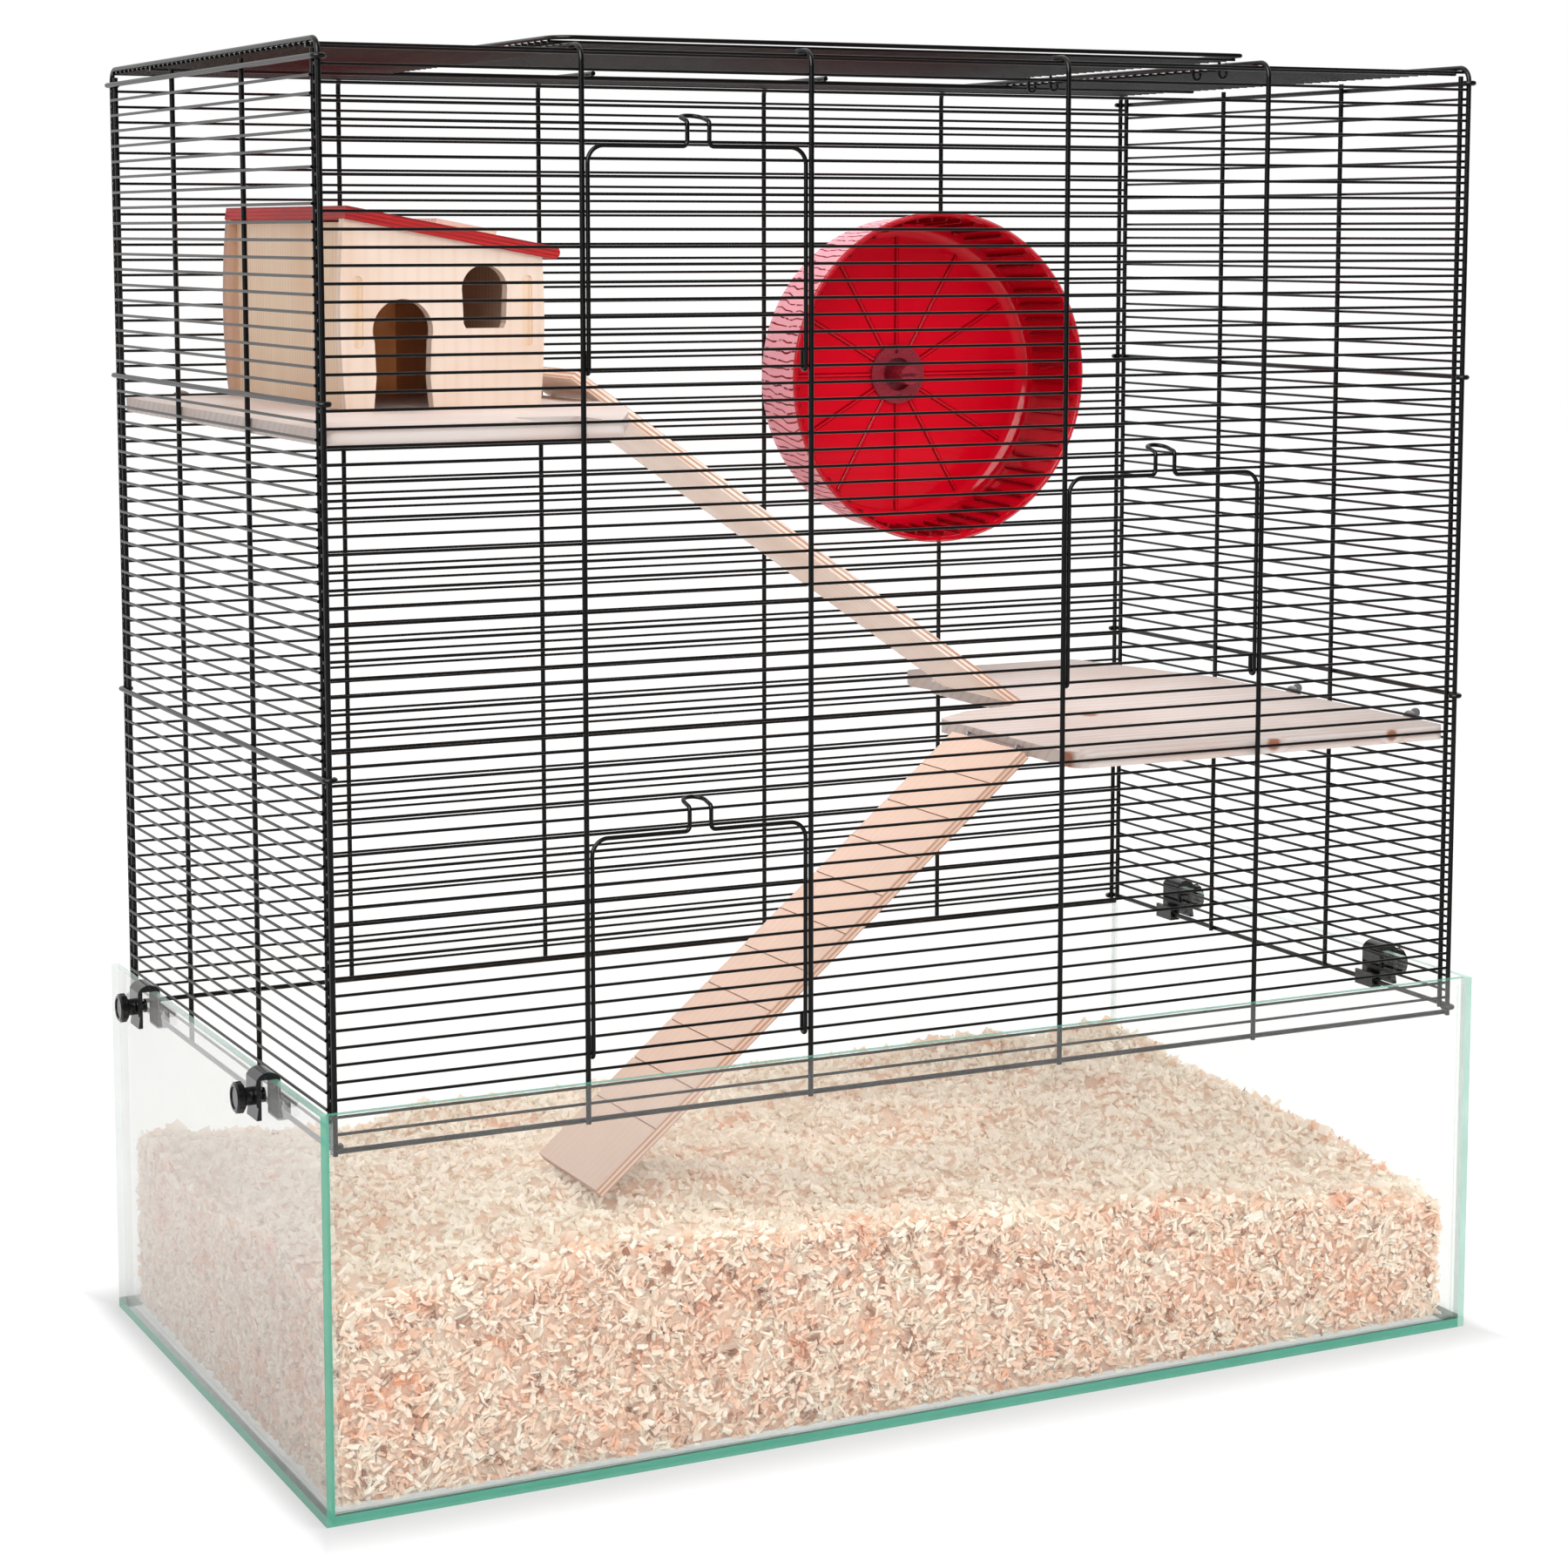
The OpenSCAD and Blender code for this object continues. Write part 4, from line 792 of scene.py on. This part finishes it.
    def kinds_of_curl(self, tree):
        """One instance for each kind of curl: a thin strip of length 1, bent round and skewed."""
        node = partial(add, tree)
        kinds = node("GeometryNodeJoinGeometry")
        for turns, wide, segments in CURLS:
            strip = node(
                "GeometryNodeMeshGrid",
                {"Size X": 1.0, "Size Y": wide, "Vertices X": segments, "Vertices Y": 2},
            )
            place = node("GeometryNodeInputPosition")
            spot = node("SeparateXYZ", (place,))
            radius = 1 / (turns * 2 * math.pi)
            angle = node("Math", (spot.outputs["X"], 1 / radius), "MULTIPLY")
            sine = node("Math", (angle,), "SINE")
            cosine = node("Math", (angle,), "COSINE")
            along = node("Math", (sine, radius), "MULTIPLY")
            skew = node("Math", (spot.outputs["X"], 0.25, spot.outputs["Y"]), "MULTIPLY_ADD")
            high = node("Math", (cosine, -radius), "MULTIPLY")
            bent = node("CombineXYZ", {"X": along, "Y": skew, "Z": high})
            curl = node(
                "GeometryNodeSetPosition", {"Geometry": strip.outputs["Mesh"], "Position": bent}
            )
            wrapped = node("GeometryNodeGeometryToInstance", (curl,))
            tree.links.new(wrapped.outputs[0], kinds.inputs[0])
        return kinds

    def folded_back(self, node, curls, low_corner, high_corner):
        """Folds what passes out of a box back into it, nearly flat against the box's side."""
        where = node("GeometryNodeInputPosition")
        low = node("VectorMath", (where, low_corner), "MAXIMUM")
        both = node("VectorMath", (low, high_corner), "MINIMUM")
        back = node("VectorMath", (both, where), "SUBTRACT")
        within = node("VectorMath", (back, (FLATTENED,) * 3, both), "MULTIPLY_ADD")
        return node("GeometryNodeSetPosition", {"Geometry": curls, "Position": within})


# ------------------------------------------------------------------ operators

# Where the camera stands, in metres, its heading and tilt in degrees, and its lens's shift
CAMERA_AT = (-0.98099, -1.984117, 0.733641)
CAMERA_HEADING, CAMERA_TILT = 26.35, 6.73
CAMERA_SHIFT = (-0.0023, -0.1)
# Disc lamps: name, place, target, diameter, power against the key light's
LAMPS = (
    ("key", (-1.2, -2.6, 2.4), (0, 0, 0.4), 1.8, 1.0),
    ("fill", (2.4, -1.6, 1.6), (0, 0, 0.35), 1.6, 0.4),
    ("top", (0.2, -0.3, 3.2), (0, 0, 0.2), 2.2, 1.75),
)
# The way to the soft box that glossy parts mirror
SOFT_BOX = (-0.62, -0.55, 0.56)
# How far the floor reaches, in metres, and how wide the crease's painted shadow is beside the tank
FLOOR_REACH = 8.0
PAINTED_CREASE_SHADOW = 24 * MM
# How high the floor pane's edge shows through the feet of the walls, in thicknesses of that pane
GREEN_FOOT = 1.25
# Slat feet lines round the wheel, and the depth of its red rim before its wall's painted light
SLAT_LINES = 120
RED_RIM = 6 * MM
# Slopes of the boards that lie aslant, in degrees
ROOF_SLOPE = 10.35
RAMP_SLOPES = {"upper_ramp": 35.0, "lower_ramp": -40.0}
# How far each ramp's face is darkened towards the dark layers of its plywood
RAMP_DARKENING = {"upper_ramp": 0.0, "lower_ramp": 0.55}


def seen_directly(node):
    """The light path's outputs, and 1 where a camera, a mirror or clear glass looks straight on."""
    path = node("LightPath").outputs
    seen = node("Math", (path["Is Camera Ray"], path["Is Glossy Ray"]), "MAXIMUM")
    seen = node("Math", (seen, path["Is Transmission Ray"]), "MAXIMUM")
    return path, seen


class CAGE_OT_stage(bpy.types.Operator):
    """Sets up the floor, the lamps, the white surroundings and the camera"""

    bl_idname = "cage.stage"
    bl_label = "Stage"

    def execute(self, context):
        looks = context.scene.cage_stage
        scene = context.scene
        scene.view_settings.view_transform = "Standard"
        self.floor(looks)
        self.surroundings(scene, looks)
        for name, at, target, size, power in LAMPS:
            self.lamp(name, at, target, size, looks.key_power * power)
        camera = bpy.data.objects.new("camera", bpy.data.cameras.new("camera"))
        camera.data.lens = looks.lens
        camera.data.sensor_width = 36.0
        camera.data.shift_x, camera.data.shift_y = CAMERA_SHIFT
        camera.data.clip_end = 50.0
        heading, tilt = math.radians(CAMERA_HEADING), math.radians(CAMERA_TILT)
        level = math.cos(tilt)
        ahead = Vector((math.sin(heading) * level, math.cos(heading) * level, -math.sin(tilt)))
        turn = ahead.to_track_quat("-Z", "Y").to_matrix().to_4x4()
        camera.matrix_world = Matrix.Translation(CAMERA_AT) @ turn
        scene.collection.objects.link(camera)
        scene.camera = camera
        return {"FINISHED"}

    def floor(self, looks):
        """White floor that keeps a soft shadow, and a painted one in the crease at the tank's base.

        Where it is looked at it gives most of its light itself, so it is white with a faint shadow.
        Glossy parts see it darker on the camera's side.
        """
        far = FLOOR_REACH
        corners = [(-far, -far, 0), (far, -far, 0), (far, far, 0), (-far, far, 0)]
        obj = new_object("floor", corners, [(0, 1, 2, 3)])
        material, node, coords = start_material("white_floor")
        # The parts get light back from a plain floor. A direct look at it sees a small share of
        # the lamps' light, which holds the shadow, on top of the floor's own glow.
        plain = node("BsdfDiffuse", {"Color": (0.8, 0.8, 0.8, 1)})
        thin = node("BsdfDiffuse", {"Color": (0.16, 0.16, 0.16, 1)})
        corner = Vector((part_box("glass_right")[1].x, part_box("glass_back")[1].y, 0))
        where = coords["Object"]
        folded = node("VectorMath", (where,), "ABSOLUTE")
        past = node("VectorMath", (folded, corner), "SUBTRACT")
        past = node("SeparateXYZ", {"Vector": past})
        # The painted shadow in the crease is wider in front of the tank and behind it than beside
        # it
        ahead = node("Math", (past.outputs["Y"], 0.35), "MULTIPLY")
        away = node("Math", (past.outputs["X"], ahead), "MAXIMUM")
        # The glow dims near the tank's base: a painted shadow in the crease
        glow = node(
            "MapRange",
            {"Value": away, "From Max": PAINTED_CREASE_SHADOW, "To Min": 0.5, "To Max": 0.86},
            interpolation_type="SMOOTHSTEP",
        )
        path, seen = seen_directly(node)
        behind = node("SeparateXYZ", {"Vector": where})
        behind = node(
            "MapRange",
            {
                "Value": behind.outputs["Y"],
                "From Min": -0.4,
                "From Max": 0.4,
                "To Min": 0.1,
                "To Max": 0.86,
            },
        )
        glow = node("Mix", {0: path["Is Glossy Ray"], 2: glow, 3: behind}, data_type="FLOAT")
        lift = node("Emission", {"Color": looks.floor, "Strength": glow})
        lifted = node("AddShader", (thin, lift))
        both = node("MixShader", (seen, plain, lifted))
        node("OutputMaterial", {"Surface": both})
        obj.data.materials.append(material)

    def surroundings(self, scene, looks):
        """White all round.

        Glossy parts see a room that is dark on the camera's side and has one soft box in it, so
        black parts stay black and have a highlight.
        """
        world = bpy.data.worlds.new("white_room")
        scene.world = world
        world.use_nodes = True
        world.node_tree.nodes.clear()
        node = partial(add, world.node_tree)
        path, seen = seen_directly(node)
        # The room that glossy parts see is dark in front and turns white towards the back
        way = node("TexCoord").outputs["Generated"]
        ahead = node("SeparateXYZ", {"Vector": way}).outputs["Y"]
        room = node(
            "MapRange",
            {"Value": ahead, "From Min": -0.1, "From Max": 0.5, "To Min": 0.05, "To Max": 1.0},
        )
        # The soft box is a disc that fades out at about 28 degrees from its middle
        box = Vector(SOFT_BOX).normalized()
        toward = node("VectorMath", (way, box), "DOT_PRODUCT")
        lamp = node(
            "MapRange",
            {"Value": toward.outputs["Value"], "From Min": 0.86, "From Max": 0.9, "To Max": 5.5},
        )
        room = node("Math", (room, lamp), "ADD")
        level = node("Mix", {0: path["Is Glossy Ray"], 6: (1, 1, 1, 1), 7: room}, data_type="RGBA")
        white = node("Background", {"Color": level, "Strength": 1.0})
        soft = node("Background", {"Color": looks.floor, "Strength": looks.sky})
        both = node("MixShader", (seen, soft, white))
        node("OutputWorld", {"Surface": both})

    def lamp(self, name, at, target, size, power):
        """A soft disc lamp that isn't itself mirrored in the parts."""
        data = bpy.data.lights.new(name, "AREA")
        data.shape = "DISK"
        data.size = size
        data.energy = power
        obj = bpy.data.objects.new(name, data)
        obj.location = at
        obj.rotation_euler = (Vector(target) - Vector(at)).to_track_quat("-Z", "Y").to_euler()
        obj.visible_glossy = False
        bpy.context.scene.collection.objects.link(obj)


class CAGE_OT_tank(bpy.types.Operator):
    """Dresses the tank's panes and sealant"""

    bl_idname = "cage.tank"
    bl_label = "Tank"

    def execute(self, context):
        looks = context.scene.cage
        edge, clear, grey = looks.glass_edge, looks.glass, looks.glass_left
        foot = GREEN_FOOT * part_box("glass_floor")[1].z
        pale = blend(edge, (1, 1, 1, 1), 0.25)
        left = float_glass("float_glass_left", "X", edge, grey, foot, looks.dust_left)
        dress(left, "glass_left")
        dress(float_glass("float_glass_right", "X", pale, clear, foot), "glass_right")
        long = float_glass("float_glass_long", "Y", edge, clear, foot, looks.dust_long)
        dress(long, "glass_front", "glass_back")
        dress(float_glass("float_glass_floor", "Z", edge, clear), "glass_floor")
        dress(sealant("clear_silicone"), "silicone_seams")
        return {"FINISHED"}


class CAGE_OT_wires(bpy.types.Operator):
    """Powder-coats the wire top and its doors"""

    bl_idname = "cage.wires"
    bl_label = "Wires"

    def execute(self, context):
        coat = powder_coat("powder_coated_steel", context.scene.cage.wire)
        slots = {p["node"]: p["material_slot"] for p in frame["record"]["subparts"]}
        dress(coat, *[name for name, slot in slots.items() if slot == "wire"])
        return {"FINISHED"}


class CAGE_OT_clamps(bpy.types.Operator):
    """Dresses the clamps, their screws and their knobs"""

    bl_idname = "cage.clamps"
    bl_label = "Clamps"

    def execute(self, context):
        black = context.scene.cage.clamp
        plastic = moulded_plastic(
            "glossy_black_polyamide", black, rough=0.2, grain=0.5 * MM, coat=0.15
        )
        dress(plastic, *[n for n in NODES if n.startswith("clamp_")])
        return {"FINISHED"}


class CAGE_OT_wheel(bpy.types.Operator):
    """Dresses the wheel, its hub and its axle"""

    bl_idname = "cage.wheel"
    bl_label = "Wheel"

    def execute(self, context):
        looks = context.scene.cage
        lo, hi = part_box("wheel_drum")
        centre = (lo + hi) / 2
        radius = (hi.x - lo.x) / 2
        rim = lo.y + RED_RIM - centre.y
        drum = tinted_plastic("red_polystyrene", looks.wheel, centre, radius, rim, SLAT_LINES)
        dress(drum, "wheel_drum")
        slats = blend(looks.wheel, srgb("2A0106"), 0.75)
        glossy = moulded_plastic(
            "red_polystyrene_slats", slats, rough=0.2, grain=0.9 * MM, coat=0.3
        )
        dress(glossy, "wheel_slats")
        dull = moulded_plastic("dull_red_polystyrene", looks.hub, rough=0.32, grain=0.6 * MM)
        dress(dull, "wheel_hub", "wheel_axle")
        return {"FINISHED"}


class CAGE_OT_shelves(bpy.types.Operator):
    """Dresses the shelves and their metal fittings"""

    bl_idname = "cage.shelves"
    bl_label = "Shelves"

    def execute(self, context):
        looks = context.scene.cage
        lo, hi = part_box("lower_shelf")
        middle = (lo.z + hi.z) / 2
        knots = {
            "lower": (
                ((249 * MM, lo.y, middle + 2 * MM), 5 * MM),
                ((342 * MM, lo.y, middle + 1 * MM), 4 * MM),
                ((lo.x, lo.y + 12 * MM, middle), 7 * MM),
                ((200 * MM, -60 * MM, hi.z), 6 * MM),
            )
        }
        lo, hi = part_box("upper_shelf")
        knots["upper"] = (((-262 * MM, lo.y + 30 * MM, hi.z), 2 * MM),)
        for place, marks in knots.items():
            wood = planed_wood(
                "planed_pine_" + place,
                looks.shelf,
                looks.shelf_line,
                line=looks.shelf_line_gap,
                knots=marks,
            )
            dress(wood, place + "_shelf")
        zinc = zinc_plate("zinc_plated_steel")
        dress(zinc, "shelf_bolts", "ramp_eyes", "upper_bail", "lower_bail")
        return {"FINISHED"}


class CAGE_OT_ramps(bpy.types.Operator):
    """Dresses the two plywood ramps"""

    bl_idname = "cage.ramps"
    bl_label = "Ramps"

    def execute(self, context):
        looks = context.scene.cage
        for name, slope in RAMP_SLOPES.items():
            wood = planed_wood(
                "birch_plywood_" + name,
                blend(looks.ramp, looks.ply_dark, RAMP_DARKENING[name]),
                looks.ramp_line,
                turn=(0, -math.radians(slope), 0),
                layers=("Z", looks.ply, looks.ply_dark),
            )
            dress(wood, name)
        return {"FINISHED"}


class CAGE_OT_house(bpy.types.Operator):
    """Dresses the wooden house"""

    bl_idname = "cage.house"
    bl_label = "House"

    def execute(self, context):
        looks = context.scene.cage
        # The grain of the walls stands upright
        upright = (0, math.radians(90), 0)
        soft = blend(looks.house, looks.ply_dark, 0.35)
        walls = planed_wood(
            "birch_plywood_walls",
            looks.house,
            looks.house_line,
            turn=upright,
            line=9 * MM,
            depth=0.3,
            layers=("Y", 2 * looks.ply, soft),
        )
        dress(walls, "house_front", "house_cleat")
        # Light comes through the thin back board
        thin = planed_wood(
            "birch_plywood_back",
            looks.house,
            looks.house_line,
            turn=upright,
            line=9 * MM,
            depth=0.6,
            glow=0.5,
        )
        dress(thin, "house_back")
        sides = planed_wood(
            "birch_plywood_sides",
            looks.house_side,
            looks.house_side_line,
            turn=upright,
            line=5 * MM,
        )
        dress(sides, "house_sides")
        roof = planed_wood(
            "red_stained_plywood",
            looks.roof,
            looks.roof_line,
            turn=(0, -math.radians(ROOF_SLOPE), 0),
            line=3 * MM,
            depth=0.8,
            layers=("Z", 0.8 * looks.ply, looks.roof_line),
        )
        dress(roof, "house_roof")
        return {"FINISHED"}


class CAGE_PT_panel(bpy.types.Panel):
    """Lists the steps that dress the cage"""

    bl_idname = "CAGE_PT_panel"
    bl_label = "Hamster cage"
    bl_space_type = "VIEW_3D"
    bl_region_type = "UI"
    bl_category = "Cage"

    def draw(self, context):
        for operator in OPERATORS:
            self.layout.operator(operator.bl_idname)
        for group in (context.scene.cage_stage, context.scene.cage):
            for name in group.__annotations__:
                self.layout.prop(group, name)


OPERATORS = (
    CAGE_OT_stage,
    CAGE_OT_tank,
    CAGE_OT_wires,
    CAGE_OT_clamps,
    CAGE_OT_wheel,
    CAGE_OT_shelves,
    CAGE_OT_ramps,
    CAGE_OT_house,
    CAGE_OT_shavings,
)
CLASSES = (StageLooks, CageLooks, *OPERATORS, CAGE_PT_panel)


def register():
    for cls in CLASSES:
        bpy.utils.register_class(cls)
    bpy.types.Scene.cage_stage = bpy.props.PointerProperty(type=StageLooks)
    bpy.types.Scene.cage = bpy.props.PointerProperty(type=CageLooks)


def unregister():
    del bpy.types.Scene.cage
    del bpy.types.Scene.cage_stage
    for cls in reversed(CLASSES):
        bpy.utils.unregister_class(cls)


def main():
    register()
    for operator in OPERATORS:
        group, name = operator.bl_idname.split(".")
        getattr(getattr(bpy.ops, group), name)()


if __name__ == "__main__":
    main()
